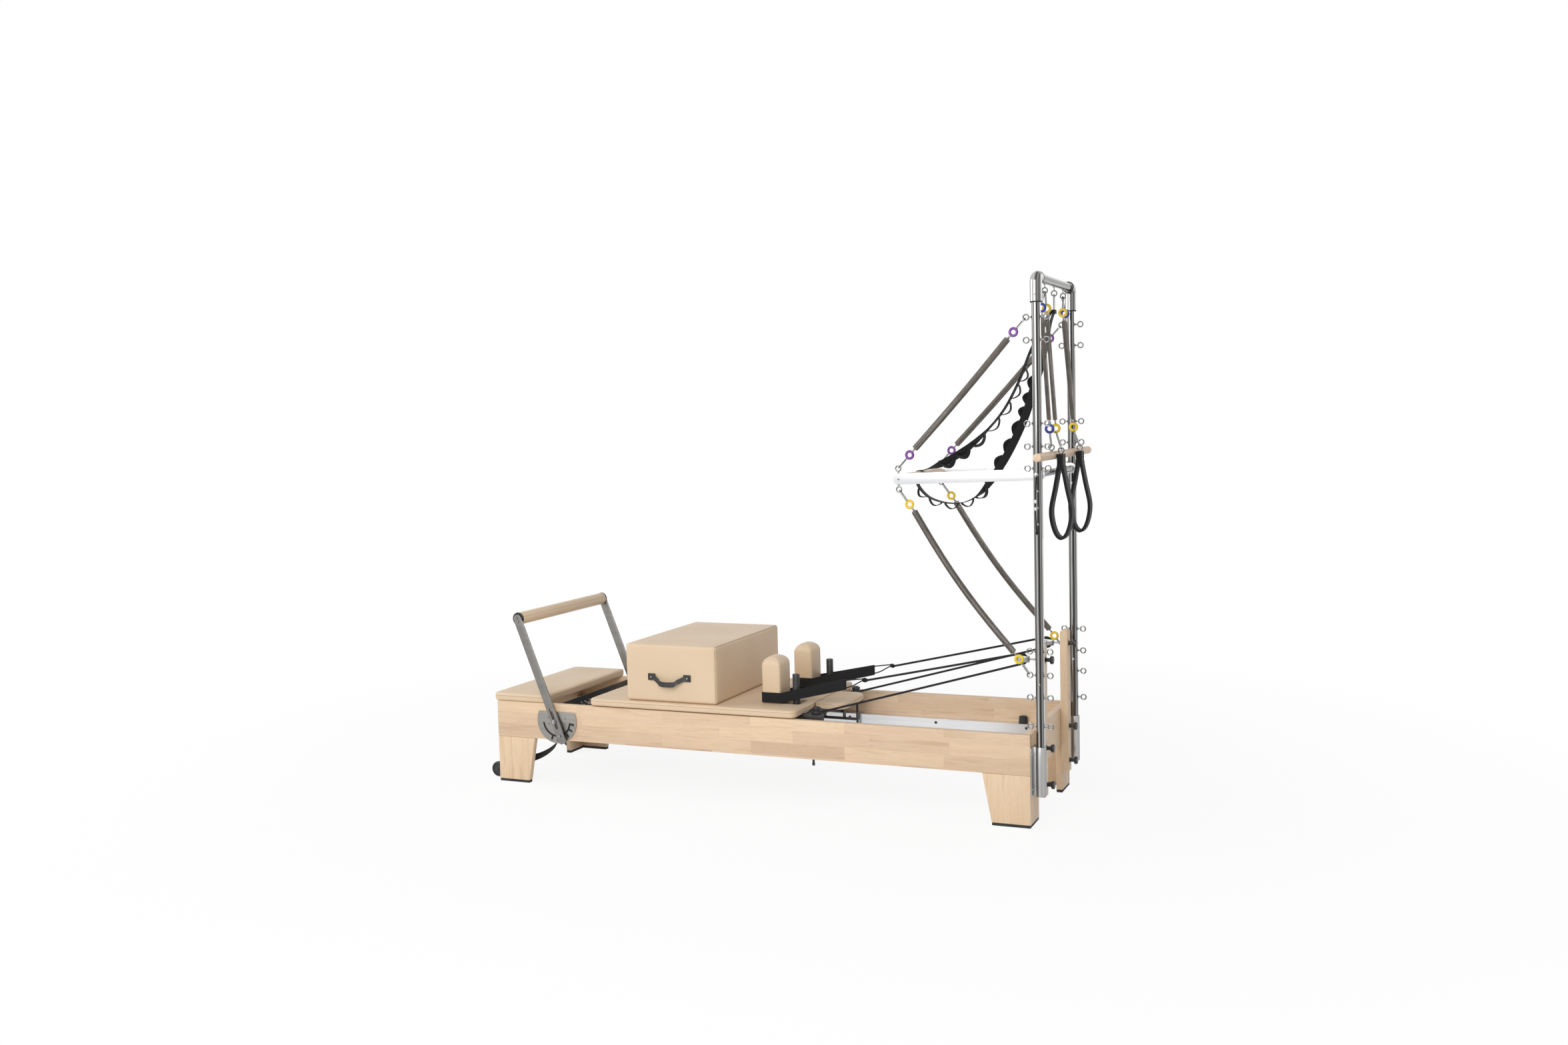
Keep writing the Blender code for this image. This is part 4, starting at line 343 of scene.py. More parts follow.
for end, outside, way in (("foot", foot_end, 1), ("tower", foot_end + frame_length, -1)):
    end_x = (outside, outside + way * board_thickness)
    bm = bmesh.new()
    slab(bm, end_x, (-inner_y, inner_y), (rail_bottom, rail_top), board_edge)
    add_piece("end_board_" + end, bm, wood_along_y, "frame", ["end_frame_" + end])
    for side, sign in sides.items():
        end_y = (sign * (half_width - leg_end_width), sign * inner_y)
        leg = bmesh.new()
        plank = slab(leg, (outside, outside + way * leg_width_top),
                     (sign * half_width, sign * (half_width - board_thickness)),
                     (foot_thickness, leg_top), board_edge)
        for v in plank:
            if abs(v.co.x - outside) > leg_width_top / 2:
                down = (leg_top - v.co.z) / (leg_top - foot_thickness)
                v.co.x -= way * (leg_width_top - leg_width_foot) * down
        slab(leg, end_x, end_y, (foot_thickness, leg_top), board_edge)
        add_piece("leg_" + end + "_" + side, leg, wood_upright, "frame")
        foot = bmesh.new()
        slab(foot, (outside + way * foot_inset, outside + way * (leg_width_foot - foot_inset)),
             (sign * (half_width - foot_inset), sign * (half_width - board_thickness + foot_inset)),
             (0.0, foot_thickness), foot_edge)
        slab(foot, (outside + way * foot_inset, outside + way * (board_thickness - foot_inset)), end_y,
             (0.0, foot_thickness), foot_edge)
        add_piece("foot_pad_" + end + "_" + side, foot, rubber, "frame")

# Running tracks: anodised aluminium channels bolted to the insides of the rails with black
# bolts, and a black rubber stopper cone on each at the tower end.
track_low, track_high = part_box("track_near")
track_inner_y, track_wall, track_bottom, track_top = 0.2942, 0.003, 0.232, 0.274
track_middle = track_inner_y + 0.020
bolt_first, bolt_spacing, bolt_count, bolt_height = 0.246, 0.4165, 6, 0.2565
bolt_radius, bolt_head, bolt_socket = 0.0062, 0.003, 0.0030
stopper_x, stopper_height, stopper_radius, stopper_tip = 2.310, 0.032, 0.0197, 0.018


def extruded(bm, outline, axis, start, end, edge=0.0):
    """Solid from an outline across an axis; the outline's pairs are the other two axes in order."""
    before = set(bm.verts)
    points = []
    for pair in outline:
        point = list(pair)
        point.insert("XYZ".index(axis), start)
        points.append(bm.verts.new(point))
    grown = bmesh.ops.extrude_face_region(bm, geom=[bm.faces.new(points)])["geom"]
    step = Vector([end - start if axis == name else 0.0 for name in "XYZ"])
    bmesh.ops.translate(bm, verts=[v for v in grown if isinstance(v, bmesh.types.BMVert)], vec=step)
    if edge:
        bevelled(bm, {e for v in bm.verts if v not in before for e in v.link_edges
                      if abs((e.verts[0].co - e.verts[1].co).dot(step)) < 1e-9}, edge)


def rod(bm, start, end, radius, sides=32, edge=0.0, end_radius=None):
    """Round bar, or cone, between two points, with its rims eased."""
    a, b = Vector(start), Vector(end)
    turn = Vector((0, 0, 1)).rotation_difference(b - a).to_matrix().to_4x4()
    made = bmesh.ops.create_cone(bm, cap_ends=True, segments=sides, radius1=radius,
                                 radius2=radius if end_radius is None else end_radius,
                                 depth=(b - a).length, matrix=Matrix.Translation((a + b) / 2) @ turn)
    if edge:
        faces = {f for v in made["verts"] for f in v.link_faces}
        bevelled(bm, {e for f in faces if len(f.verts) > 4 for e in f.edges}, edge)


aluminium = mottled("satin_aluminium", (0.82, 0.83, 0.85), (0.74, 0.75, 0.77), 6.0, 0.34, 300.0, 0.05,
                    (1, 1, 30), 1.0)
black_metal = mottled("black_powder_coat", (0.028, 0.028, 0.030), (0.014, 0.014, 0.015), 14.0, 0.42,
                      900.0, 0.10)

for side, sign in sides.items():
    bm = bmesh.new()
    face_y = track_inner_y + track_wall
    channel = ((inner_y, track_top), (track_inner_y, track_top), (track_inner_y, track_bottom),
               (inner_y, track_bottom), (inner_y, track_bottom + track_wall),
               (face_y, track_bottom + track_wall), (face_y, track_top - track_wall),
               (inner_y, track_top - track_wall))
    extruded(bm, [(sign * y, z) for y, z in channel], "X", track_low[0], track_high[0], 0.0006)
    add_piece("track_" + side + "_channel", bm, aluminium, "frame", ["track_" + side])
    bm = bmesh.new()
    for i in range(bolt_count):
        seat = at(bolt_first + i * bolt_spacing, sign * track_inner_y, bolt_height)
        head = seat - Vector((0, sign * bolt_head, 0))
        rod(bm, seat, head, bolt_radius, 24, 0.0008)
        rod(bm, head, head - Vector((0, sign * 0.0004, 0)), bolt_socket, 6)
    add_piece("track_bolts_" + side, bm, black_metal, "frame")
    bm = bmesh.new()
    seat = at(stopper_x, sign * track_middle, track_top)
    rod(bm, seat, seat + Vector((0, 0, stopper_height)), stopper_radius, 32, 0.003, stopper_tip)
    add_piece("stopper_" + side, bm, rubber, "frame")

# Spring bar: a folded steel angle across the frame, coated black, with five plated hooks that
# the carriage springs hang on.
bar_low, bar_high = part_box("spring_bar")
bar_wall, bar_drop, bar_edge = 0.005, 0.004, 0.0012
spring_count, spring_spacing = 5, 0.075
hook_rise, hook_stand, hook_radius, hook_rod = 0.068, 0.021, 0.009, 0.0032
hook_nut_radius, hook_nut = 0.007, 0.004
bar_base = track_top + gap
bar_face = bar_low[0] + bar_wall
hook_x, hook_z = bar_face + hook_stand, bar_base + hook_rise


def ring(bm, centre, axis, radius, wire, steps=28, sides=10):
    """Round wire bent to a ring about an axis."""
    before = set(bm.verts)
    section = Matrix.Translation((radius, 0, 0)) @ Matrix.Rotation(quarter, 4, "X")
    cross = bmesh.ops.create_circle(bm, cap_ends=False, segments=sides, radius=wire, matrix=section)
    edges = {e for v in cross["verts"] for e in v.link_edges}
    bmesh.ops.spin(bm, geom=list(cross["verts"]) + list(edges), cent=(0, 0, 0), axis=(0, 0, 1),
                   dvec=(0, 0, 0), angle=2 * math.pi, steps=steps, use_merge=True)
    turn = Vector((0, 0, 1)).rotation_difference(Vector(axis)).to_matrix().to_4x4()
    bmesh.ops.transform(bm, matrix=Matrix.Translation(centre) @ turn,
                        verts=[v for v in bm.verts if v not in before])


def painted_reflection_metal(name, reflection_bands, roughness, axis="X"):
    """Polished metal with painted reflections: its tone goes in bands with how far it faces along an axis.
    """
    material, tree = new_material(name, {"Metallic": 1.0})
    normal = add_node(tree, "NewGeometry", {}).outputs["Normal"]
    facing = add_node(tree, "SeparateXYZ", {0: normal}).outputs[axis]
    wander = noise(tree, mapped(tree, stretch=(1, 1, 0.35)), 9.0, 2.0)
    share = add_node(tree, "Math", {0: facing, 1: 0.5, 2: 0.5}, operation="MULTIPLY_ADD").outputs[0]
    moved = add_node(tree, "Math", {0: share, 1: ranged(tree, wander, -0.020, 0.020)}, operation="ADD")
    stops = [(place, (tone, tone * 0.99, tone * 0.97)) for place, tone in reflection_bands]
    feed(tree, tree.nodes["Principled BSDF"],
         {"Base Color": ramp(tree, moved.outputs[0], stops),
          "Roughness": ranged(tree, wander, roughness + 0.03, roughness - 0.03)})
    return material


# Painted reflections: the bright steel's base colour is light and dark bands set by which way each face
# turns.
steel = painted_reflection_metal("bright_steel", ((0.0, 0.38), (0.22, 0.09), (0.42, 0.50), (0.58, 0.11), (0.74, 0.30),
                                   (0.90, 0.10), (1.0, 0.42)), 0.22)
bm = bmesh.new()
angle_outline = ((bar_low[0], bar_base), (bar_high[0], bar_base), (bar_high[0], bar_base + bar_wall),
                 (bar_face, bar_base + bar_wall), (bar_face, rail_top - bar_drop),
                 (bar_low[0], rail_top - bar_drop))
extruded(bm, angle_outline, "Y", bar_low[1], bar_high[1], bar_edge)
add_piece("spring_bar_angle", bm, black_metal, "frame", ["spring_bar"])
bm = bmesh.new()
spring_rows = [(i - (spring_count - 1) / 2) * spring_spacing for i in range(spring_count)]
for y in spring_rows:
    seat = Vector((bar_face, y, hook_z))
    rod(bm, seat, (hook_x - hook_radius + 0.001, y, hook_z), hook_rod, 12)
    rod(bm, seat, seat + Vector((hook_nut, 0, 0)), hook_nut_radius, 6)
    ring(bm, (hook_x, y, hook_z), (0, 1, 0), hook_radius, hook_rod)
add_piece("spring_hooks", bm, steel, "frame")

# Upholstery: firm foam on plywood, covered in pale beige artificial leather with fine pebbled
# grain. The platform at the foot end is one such pad, sewn round its edge.
leather = mottled("beige_leather_pebbled", (0.745, 0.570, 0.390), (0.722, 0.548, 0.370), 5.0, 0.46, 750.0,
                  0.08, cells=True)
feed(leather.node_tree, leather.node_tree.nodes["Principled BSDF"], {"Sheen Weight": 0.06})
thread = mottled("sewing_seam", (0.42, 0.31, 0.21), (0.34, 0.25, 0.17), 60.0, 0.8)
seam_wire, fine_seam_wire = 0.0007, 0.0006
edge_turns = (0.0, 0.4, 0.8, 1.2, quarter)
crown_rises = ((0.012, 0.45), (0.028, 0.75), (0.052, 0.92), (0.085, 1.0))


def rounded_plan(x, y, z, low_corner, high_corner, steps=6):
    """Points at one height round a rectangle with a corner radius at each of its ends."""
    points = []
    for cx, cy, way_x, way_y, radius, start in ((x[0], y[0], 1, 1, low_corner, 180),
                                                (x[1], y[0], -1, 1, high_corner, 270),
                                                (x[1], y[1], -1, -1, high_corner, 0),
                                                (x[0], y[1], 1, -1, low_corner, 90)):
        for k in range(steps + 1):
            angle = math.radians(start + 90 * k / steps)
            points.append((cx + way_x * radius + radius * math.cos(angle),
                           cy + way_y * radius + radius * math.sin(angle), z))
    return points


def pad(bm, x, y, z, corners, edge, crown):
    """Flat cushion: rounded corners in plan, rolled edges and a crowned top."""
    profile = [(edge * (1 - math.sin(t)), z[0] + edge * (1 - math.cos(t))) for t in edge_turns]
    profile += [(edge * (1 - math.cos(t)), z[1] - edge * (1 - math.sin(t))) for t in edge_turns]
    profile += [(edge + inset, z[1] + crown * rise) for inset, rise in crown_rises
                if edge + inset < 0.4 * min(x[1] - x[0], y[1] - y[0])]
    rings = []
    for inset, height in profile:
        plan = rounded_plan((x[0] + inset, x[1] - inset), (y[0] + inset, y[1] - inset), height,
                            *(max(corner - inset, 0.004) for corner in corners))
        rings.append([bm.verts.new(point) for point in plan])
    for lower, upper in zip(rings, rings[1:]):
        for i in range(len(lower)):
            bm.faces.new((lower[i - 1], lower[i], upper[i], upper[i - 1]))
    bm.faces.new(rings[0][::-1])
    bm.faces.new(rings[-1])


def tube(bm, points, radius, closed=False):
    """Thin round thread along a smooth line through given points, its ends capped."""
    curve = bpy.data.curves.new("line", "CURVE")
    curve.dimensions = "3D"
    curve.bevel_depth = radius
    curve.bevel_resolution = 1
    curve.use_fill_caps = not closed
    spline = curve.splines.new("NURBS")
    spline.points.add(len(points) - 1)
    for point, place in zip(spline.points, points):
        point.co = (*place, 1.0)
    spline.order_u = min(3, len(points))
    spline.resolution_u = 4
    spline.use_cyclic_u = closed
    spline.use_endpoint_u = not closed
    holder = bpy.data.objects.new("line", curve)
    mesh = bpy.data.meshes.new_from_object(holder)
    bm.from_mesh(mesh)
    bpy.data.objects.remove(holder)
    bpy.data.meshes.remove(mesh)
    bpy.data.curves.remove(curve)


def cut_out(bm, *cutters):
    """The mesh with the other ones cut from it."""
    for cutter in cutters:
        holders = []
        for part in (bm, cutter):
            bmesh.ops.recalc_face_normals(part, faces=part.faces)
            mesh = bpy.data.meshes.new("cut")
            part.to_mesh(mesh)
            part.free()
            holders.append(bpy.data.objects.new("cut", mesh))
            bpy.context.collection.objects.link(holders[-1])
        modifier = holders[0].modifiers.new("cut", "BOOLEAN")
        modifier.operation = "DIFFERENCE"
        modifier.solver = "EXACT"
        modifier.object = holders[1]
        evaluated = holders[0].evaluated_get(bpy.context.evaluated_depsgraph_get())
        result = bpy.data.meshes.new_from_object(evaluated)
        for holder in holders:
            bpy.data.objects.remove(holder)
        bm = bmesh.new()
        bm.from_mesh(result)
    return bm


def cushion(name, node, body, corners, edge, crown, seam_height, holes=(), sharp=32):
    """Upholstered pad over a node's box, with holes cut out; gives the mesh of the seam round it."""
    low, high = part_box(node)
    x, y = (low[0], high[0]), (low[1], high[1])
    bm, seam = bmesh.new(), bmesh.new()
    pad(bm, x, y, (low[2], high[2] - crown), corners, edge, crown)
    add_piece(name + "_cushion", cut_out(bm, *holes), leather, body, [node],
                        sharp)
    tube(seam, rounded_plan(x, y, low[2] + seam_height, *corners), seam_wire, closed=True)
    return seam


seam = cushion("platform", "platform_pad", "frame", (0.030, 0.008), 0.010, 0.003, 0.024)
add_piece("platform_seam", seam, thread, "frame")

# Gear plates: half-round brushed steel plates screwed to the rails, with an arc slot and six
# notches that the foot bar's lock pins drop into. A thin black sheet behind each is painted shade,
# standing for the shade in its slots, and the pivot bolt stands on its spacer.
pivot_x, pivot_z = 0.3215, 0.3005
pivot, pivot_centre = at(pivot_x, 0, pivot_z), (foot_end + pivot_x, pivot_z)
plate_radius, plate_top, plate_thickness, plate_face = 0.103, 0.0425, 0.004, 0.3628
slot_radius, slot_width, slot_start = 0.069, 0.0095, 187
notch_depth, notch_count, notch_step, notch_in_use = 0.0185, 6, 20, 2
bar_angle = 111.3
arm_inner, arm_thickness = 0.3758, 0.009
arm_outer = arm_inner + arm_thickness
plate_screw_x, plate_screw_z, plate_screw_radius, plate_screw_rim = 0.043, 0.0145, 0.0048, 0.0034
bolt_head_radius, bolt_neck_radius, bolt_head_thickness = 0.011, 0.006, 0.005


def polar(centre, radius, angle):
    """Point of a plane at a radius and an angle in degrees from a centre."""
    return (centre[0] + radius * math.cos(math.radians(angle)),
            centre[1] + radius * math.sin(math.radians(angle)))


def arc(centre, radius, start, end, steps):
    """Points round a centre between two angles in degrees."""
    return [polar(centre, radius, start + (end - start) * k / steps) for k in range(steps + 1)]


def slot_outline():
    """Arc slot with its notches, seen along Y."""
    first = bar_angle + 180 - notch_in_use * notch_step
    outer, inner = slot_radius + slot_width / 2, slot_radius - slot_width / 2
    deep = outer + notch_depth
    half, half_deep = math.degrees(slot_width / 2 / outer), math.degrees(slot_width / 2 / deep)
    outline = arc(pivot_centre, outer, slot_start, first - half, 12)[:-1]
    for n in range(notch_count):
        angle = first + n * notch_step
        outline.append(polar(pivot_centre, outer, angle - half))
        outline += arc(pivot_centre, deep, angle - half_deep, angle + half_deep, 4)
        outline.append(polar(pivot_centre, outer, angle + half))
    return outline + arc(pivot_centre, inner, first + (notch_count - 1) * notch_step + half, slot_start, 40)


def across(distance):
    """Step along Y."""
    return Vector((0, distance, 0))


brushed = mottled("brushed_steel_sheet", (0.36, 0.345, 0.320), (0.31, 0.298, 0.275), 9.0, 0.38, 260.0,
                  0.05, (1, 1, 14), 1.0)
plate_flat = math.degrees(math.asin(plate_top / plate_radius))
for side, sign in sides.items():
    near, far = sign * plate_face, sign * (plate_face + plate_thickness)
    plate, slot = bmesh.new(), bmesh.new()
    extruded(plate, arc(pivot_centre, plate_radius, 180 - plate_flat, 360 + plate_flat, 64), "Y",
             near, far, 0.0005)
    extruded(slot, slot_outline(), "Y", near - sign * 0.002, far + sign * 0.002)
    add_piece("gear_plate_" + side + "_sheet", cut_out(plate, slot), brushed, "frame",
              ["gear_plate_" + side])
    # Painted shade: a thin black sheet just behind the plate, seen through its slot and notches.
    bm = bmesh.new()
    extruded(bm, arc(pivot_centre, plate_radius * 0.93, 180 - plate_flat * 0.8, 360 + plate_flat * 0.8, 48),
             "Y", near - sign * gap, near + sign * 2 * gap)
    add_piece("gear_plate_" + side + "_painted_shade_sheet", bm, rubber, "frame")
    bm = bmesh.new()
    for x in (-plate_screw_x, plate_screw_x):
        for z in (-plate_screw_z, plate_screw_z):
            seat = at(pivot_x + x, far, pivot_z + z)
            head = seat + across(sign * 0.002)
            rod(bm, seat, head, plate_screw_radius, 24, 0.0, plate_screw_rim)
            rod(bm, head, head + across(sign * 0.0004), 0.0016, 6)
    add_piece("gear_plate_screws_" + side, bm, steel, "frame")
    bm = bmesh.new()
    for start, end, radius in ((plate_face + plate_thickness + gap, arm_inner - gap, bolt_head_radius),
                               (plate_face, arm_outer + 0.001, bolt_neck_radius),
                               (arm_outer + gap, arm_outer + gap + bolt_head_thickness, bolt_head_radius)):
        rod(bm, pivot + across(sign * start), pivot + across(sign * end), radius, 32, 0.0008)
    add_piece("pivot_bolt_" + side + "_head", bm, steel, "foot_bar_pivots",
              ["pivot_bolt_" + side])

# Foot bar: two flat steel arms with rounded ends, slotted where they lift on the pivot bolts,
# and a foam roller in beige leather between black end discs. It is bolted through the arms.
arm_half, arm_reach, arm_tail = 0.020, 0.498, 0.088
lift_slot_top, lift_slot_tail, lift_slot_half = 0.058, 0.030, 0.0066
lock_pin_radius, lock_pin_head, lock_pin_head_height = 0.0040, 0.0065, 0.003
roller_screws, roller_screw_radius, roller_screw_rim = (0.006, -0.012), 0.0052, 0.0044
roller_radius, roller_cap, roller_lip = 0.028, 0.004, 0.0012
roller_half = arm_inner - roller_cap - 0.0005
lean_angle = math.radians(bar_angle)
up = Vector((math.cos(lean_angle), 0, math.sin(lean_angle)))
lean = Matrix.Translation(pivot) @ Matrix.Rotation(-lean_angle, 4, "Y")
roller_centre = pivot + up * arm_reach
flat_steel = mottled("dull_flat_steel", (0.275, 0.265, 0.248), (0.235, 0.227, 0.213), 6.0, 0.36, 260.0,
                     0.03, (1, 1, 6), 1.0)


def stadium(high, low, radius, steps):
    """Outline with round ends along X, between two centres."""
    return arc((high, 0), radius, -90, 90, steps) + arc((low, 0), radius, 90, 270, steps)


for side, sign in sides.items():
    arm, slot = bmesh.new(), bmesh.new()
    inner, outer = sign * arm_inner, sign * arm_outer
    extruded(arm, stadium(arm_reach, -arm_tail, arm_half, 24), "Y", inner, outer, 0.0012)
    extruded(slot, stadium(lift_slot_top, -lift_slot_tail, lift_slot_half, 12), "Y",
             inner - sign * 0.01, outer + sign * 0.01)
    arm = cut_out(arm, slot)
    bmesh.ops.transform(arm, matrix=lean, verts=arm.verts)
    add_piece("foot_bar_arm_" + side + "_flat", arm, flat_steel, "foot_bar",
              ["foot_bar_arm_" + side])
    bm = bmesh.new()
    lock_pin = pivot - up * slot_radius
    rod(bm, lock_pin + across(sign * (plate_face + 0.001)), lock_pin + across(sign * (arm_inner + 0.002)),
        lock_pin_radius, 20)
    for further in roller_screws:
        seat = pivot + up * (arm_reach + further) + across(outer)
        rod(bm, seat, seat + across(sign * 0.0022), roller_screw_radius, 24, 0.0006, roller_screw_rim)
    rod(bm, lock_pin + across(outer), lock_pin + across(outer + sign * lock_pin_head_height),
        lock_pin_head, 24, 0.0008)
    add_piece("foot_bar_screws_" + side, bm, steel, "foot_bar")
    bm = bmesh.new()
    rod(bm, roller_centre + across(sign * (arm_inner - roller_cap)), roller_centre + across(inner),
        roller_radius + roller_lip, 48, 0.001)
    add_piece("roller_disc_" + side, bm, rubber, "foot_bar")
bm = bmesh.new()
rod(bm, roller_centre - across(roller_half), roller_centre + across(roller_half), roller_radius, 64, 0.003)
add_piece("foot_bar_cushion", bm, leather, "foot_bar", ["foot_bar_roller"])
bm = bmesh.new()
seam_line = roller_centre - Vector((-up.z, 0, up.x)) * (roller_radius - 0.0002)
tube(bm, [seam_line + across(y) for y in (0.004 - roller_half, 0, roller_half - 0.004)], seam_wire)
add_piece("foot_bar_seam", bm, thread, "foot_bar")

# Carriage: a padded board on a black welded frame that rolls on the tracks. Two rounded holes
# near the head end take the stems of the shoulder rests, and thread runs round each hole.
bed_low, bed_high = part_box("carriage_bed")
hole_x, hole_width, hole_outer, hole_round = (foot_end + 1.325, foot_end + 1.459), 0.105, 0.2275, 0.009
hole_seam, hole_seam_corner = 0.004, 0.012
holes = []
for sign in sides.values():
    hole = bmesh.new()
    slab(hole, hole_x, (sign * (hole_outer - hole_width), sign * hole_outer),
         (bed_low[2] - 0.03, bed_high[2] + 0.03), hole_round, 5)
    holes.append(hole)
seam = cushion("carriage", "carriage_bed", "carriage", (0.026, 0.030), 0.009, 0.002, 0.022, holes, 40)
for sign in sides.values():
    middle, half = sign * (hole_outer - hole_width / 2), hole_width / 2 + hole_seam
    tube(seam, rounded_plan((hole_x[0] - hole_seam, hole_x[1] + hole_seam), (middle - half, middle + half),
                            bed_high[2] - 0.0006, hole_seam_corner, hole_seam_corner),
         fine_seam_wire, closed=True)
add_piece("carriage_seam", seam, thread, "carriage")

# Carriage frame: two square tubes with cross bars, socket plates under the bed's holes, two
# upright pegs, rope cleats, the headrest's bracket with its prop, and the hangers of the wheels.
# All of it is black coated steel, welded, apart from the bright screws of the cleats.
beam_x, beam_y, beam_width, beam_height = (0.510, 1.578), 0.2425, 0.026, 0.037
beam_top = bed_low[2] - gap
beam_low, beam_side = beam_top - beam_height, beam_y + beam_width / 2
cross_bars, cross_half = ((0.525, hook_z - 0.012), (1.500, beam_low)), 0.015
socket_rim, socket_thickness = 0.012, 0.004
stem_slot_x, stem_slot_y = (foot_end + 1.3304, foot_end + 1.3516), (0.1509, 0.2121)
socket_holes_x, socket_holes_y, socket_hole_radius = (1.385, 1.405), 0.145, 0.006
wheel_radius, wheel_width, wheel_places = 0.022, 0.018, {"foot": 0.600, "tower": 1.450}
wheel_z = track_top + gap + wheel_radius
hanger_half, hanger_drop, axle_radius = 0.014, 0.012, 0.005
peg_x, peg_y, peg_radius, peg_top, collar_width = 1.438, 0.200, 0.0155, 0.543, 0.0045
drop_pin_x, drop_pin_y, drop_pin_low, drop_pin_radius = 1.541, 0.2725, 0.164, 0.0052
drop_pin_tip, drop_pin_tip_radius = 0.176, 0.0062
cleat_x, cleat_radius, cleat_height = 1.548, 0.022, 0.034
cleat_turns = ((0.0, 0.016, 1, 1), (0.016, 0.022, 0.72, 0.72), (0.022, 0.030, 0.86, 0.86),
               (0.030, cleat_height, 0.62, 0.5))
cleat_screw_x, cleat_screw_y, cleat_screw_nut = 1.526, 0.232, 0.010
bracket_x, bracket_half = (1.485, 1.649), 0.016
bracket_drop, bracket_lip, bracket_wall = 0.030, 0.036, 0.006
prop_x, prop_half = (1.579, 1.585), 0.0128


def from_foot(*places):
    """Lengths from the foot end as places along X."""
    return [foot_end + place for place in places]


def upright(bm, place, low, high, radius, sides, edge, end_radius=None):
    """Round bar or cone that stands at a place between two heights."""
    rod(bm, (place.x, place.y, low), (place.x, place.y, high), radius, sides, edge, end_radius)


carriage_metal = bmesh.new()
for x, low in cross_bars:
    slab(carriage_metal, from_foot(x - cross_half, x + cross_half), (-beam_y, beam_y),
         (low, beam_top - 0.001), 0.002)
for side, sign in sides.items():
    slab(carriage_metal, from_foot(*beam_x),
         (sign * (beam_y - beam_width / 2), sign * (beam_y + beam_width / 2)), (beam_low, beam_top), 0.003)
    socket, stem = bmesh.new(), bmesh.new()
    slab(socket, (hole_x[0] - socket_rim, hole_x[1] + socket_rim),
         (sign * (hole_outer - hole_width - socket_rim), sign * beam_y),
         (beam_top - socket_thickness, beam_top - 0.0004), 0.0008)
    slab(stem, stem_slot_x, [sign * y for y in stem_slot_y], (beam_top - 0.02, beam_top + 0.02), 0.001)
    cutters = []
    for x in socket_holes_x:
        cutters.append(bmesh.new())
        upright(cutters[-1], at(x, sign * socket_holes_y, 0), beam_top - 0.02, beam_top + 0.02,
                socket_hole_radius, 32, 0.0)
    add_piece("socket_plate_" + side, cut_out(socket, *cutters, stem), black_metal, "carriage")
    for x in wheel_places.values():
        slab(carriage_metal, from_foot(x - hanger_half, x + hanger_half),
             (sign * (beam_side - 0.004), sign * (beam_side + 0.005)),
             (wheel_z - hanger_drop, beam_low + 0.010), 0.0015)
        rod(carriage_metal, at(x, sign * (beam_y + 0.010), wheel_z),
            at(x, sign * (track_middle + wheel_width / 2 + 0.002), wheel_z), axle_radius, 20, 0.001)
    peg = at(peg_x, sign * peg_y, 0)
    upright(carriage_metal, peg, beam_low + 0.004, peg_top, peg_radius, 40, 0.0025)
    upright(carriage_metal, peg, bed_high[2] - 0.006, bed_high[2] - 0.001, peg_radius + collar_width, 40,
            0.0012)
    drop_pin = at(drop_pin_x, sign * drop_pin_y, 0)
    slab(carriage_metal, (drop_pin.x - 0.006, drop_pin.x + 0.006),
         (sign * beam_y, sign * (drop_pin_y + 0.006)), (beam_low + 0.001, beam_low + 0.012), 0.001)
    upright(carriage_metal, drop_pin, drop_pin_low, beam_low + 0.004, drop_pin_radius, 20, 0.001)
    upright(carriage_metal, drop_pin, drop_pin_low + 0.0005, drop_pin_tip, drop_pin_tip_radius, 20, 0.001)
    cleat = at(cleat_x, sign * beam_y, 0)
    for low, high, share, end_share in cleat_turns:
        upright(carriage_metal, cleat, beam_top + low, beam_top + high, cleat_radius * share, 40, 0.001,
                cleat_radius * end_share)
first, last = from_foot(*bracket_x)
low = beam_low - bracket_drop
bracket = ((first, beam_low + 0.004), (first, low), (last, low), (last, low + bracket_lip),
           (last - bracket_wall, low + bracket_lip), (last - bracket_wall, low + bracket_wall),
           (first + bracket_wall, low + bracket_wall), (first + bracket_wall, beam_low + 0.004))
extruded(carriage_metal, bracket, "Y", -bracket_half, bracket_half, 0.001)
slab(carriage_metal, from_foot(*prop_x), (-prop_half, prop_half), (low + 0.002, beam_top - 0.0005), 0.001)
add_piece("carriage_underframe", carriage_metal, black_metal, "carriage", ["carriage_frame"])
bm = bmesh.new()
for sign in sides.values():
    seat = at(cleat_screw_x, sign * cleat_screw_y, beam_top)
    nut = seat + Vector((0, 0, cleat_screw_nut))
    rod(bm, seat, nut, 0.006, 6, 0.001)
    rod(bm, nut, nut + Vector((0, 0, 0.003)), 0.004, 20, 0.001)
add_piece("cleat_screws", bm, steel, "carriage")

# Carriage wheels: soft black tyres, each pressed on a steel bearing that turns on an axle of the
# carriage's frame. They roll on the flat tops of the tracks.
bearing_radius, bearing_bore, tyre_bore = 0.0110, 0.0057, 0.0112
for place, x in wheel_places.items():
    for side, sign in sides.items():
        name, body = side + "_" + place, "roller_" + side + "_" + place
        centre, half = at(x, sign * track_middle, wheel_z), across(wheel_width / 2)
        tyre, bore = bmesh.new(), bmesh.new()
        rod(tyre, centre - half, centre + half, wheel_radius, 48, 0.003)
        rod(bore, centre - half * 2, centre + half * 2, tyre_bore, 32)
        add_piece("tyre_" + name, cut_out(tyre, bore), rubber, body, ["wheel_" + name])
        bearing, bore = bmesh.new(), bmesh.new()
        rod(bearing, centre - half * 0.9, centre + half * 0.9, bearing_radius, 32, 0.001)
        rod(bore, centre - half * 2, centre + half * 2, bearing_bore, 24)
        add_piece("bearing_" + name, cut_out(bearing, bore), steel, body)

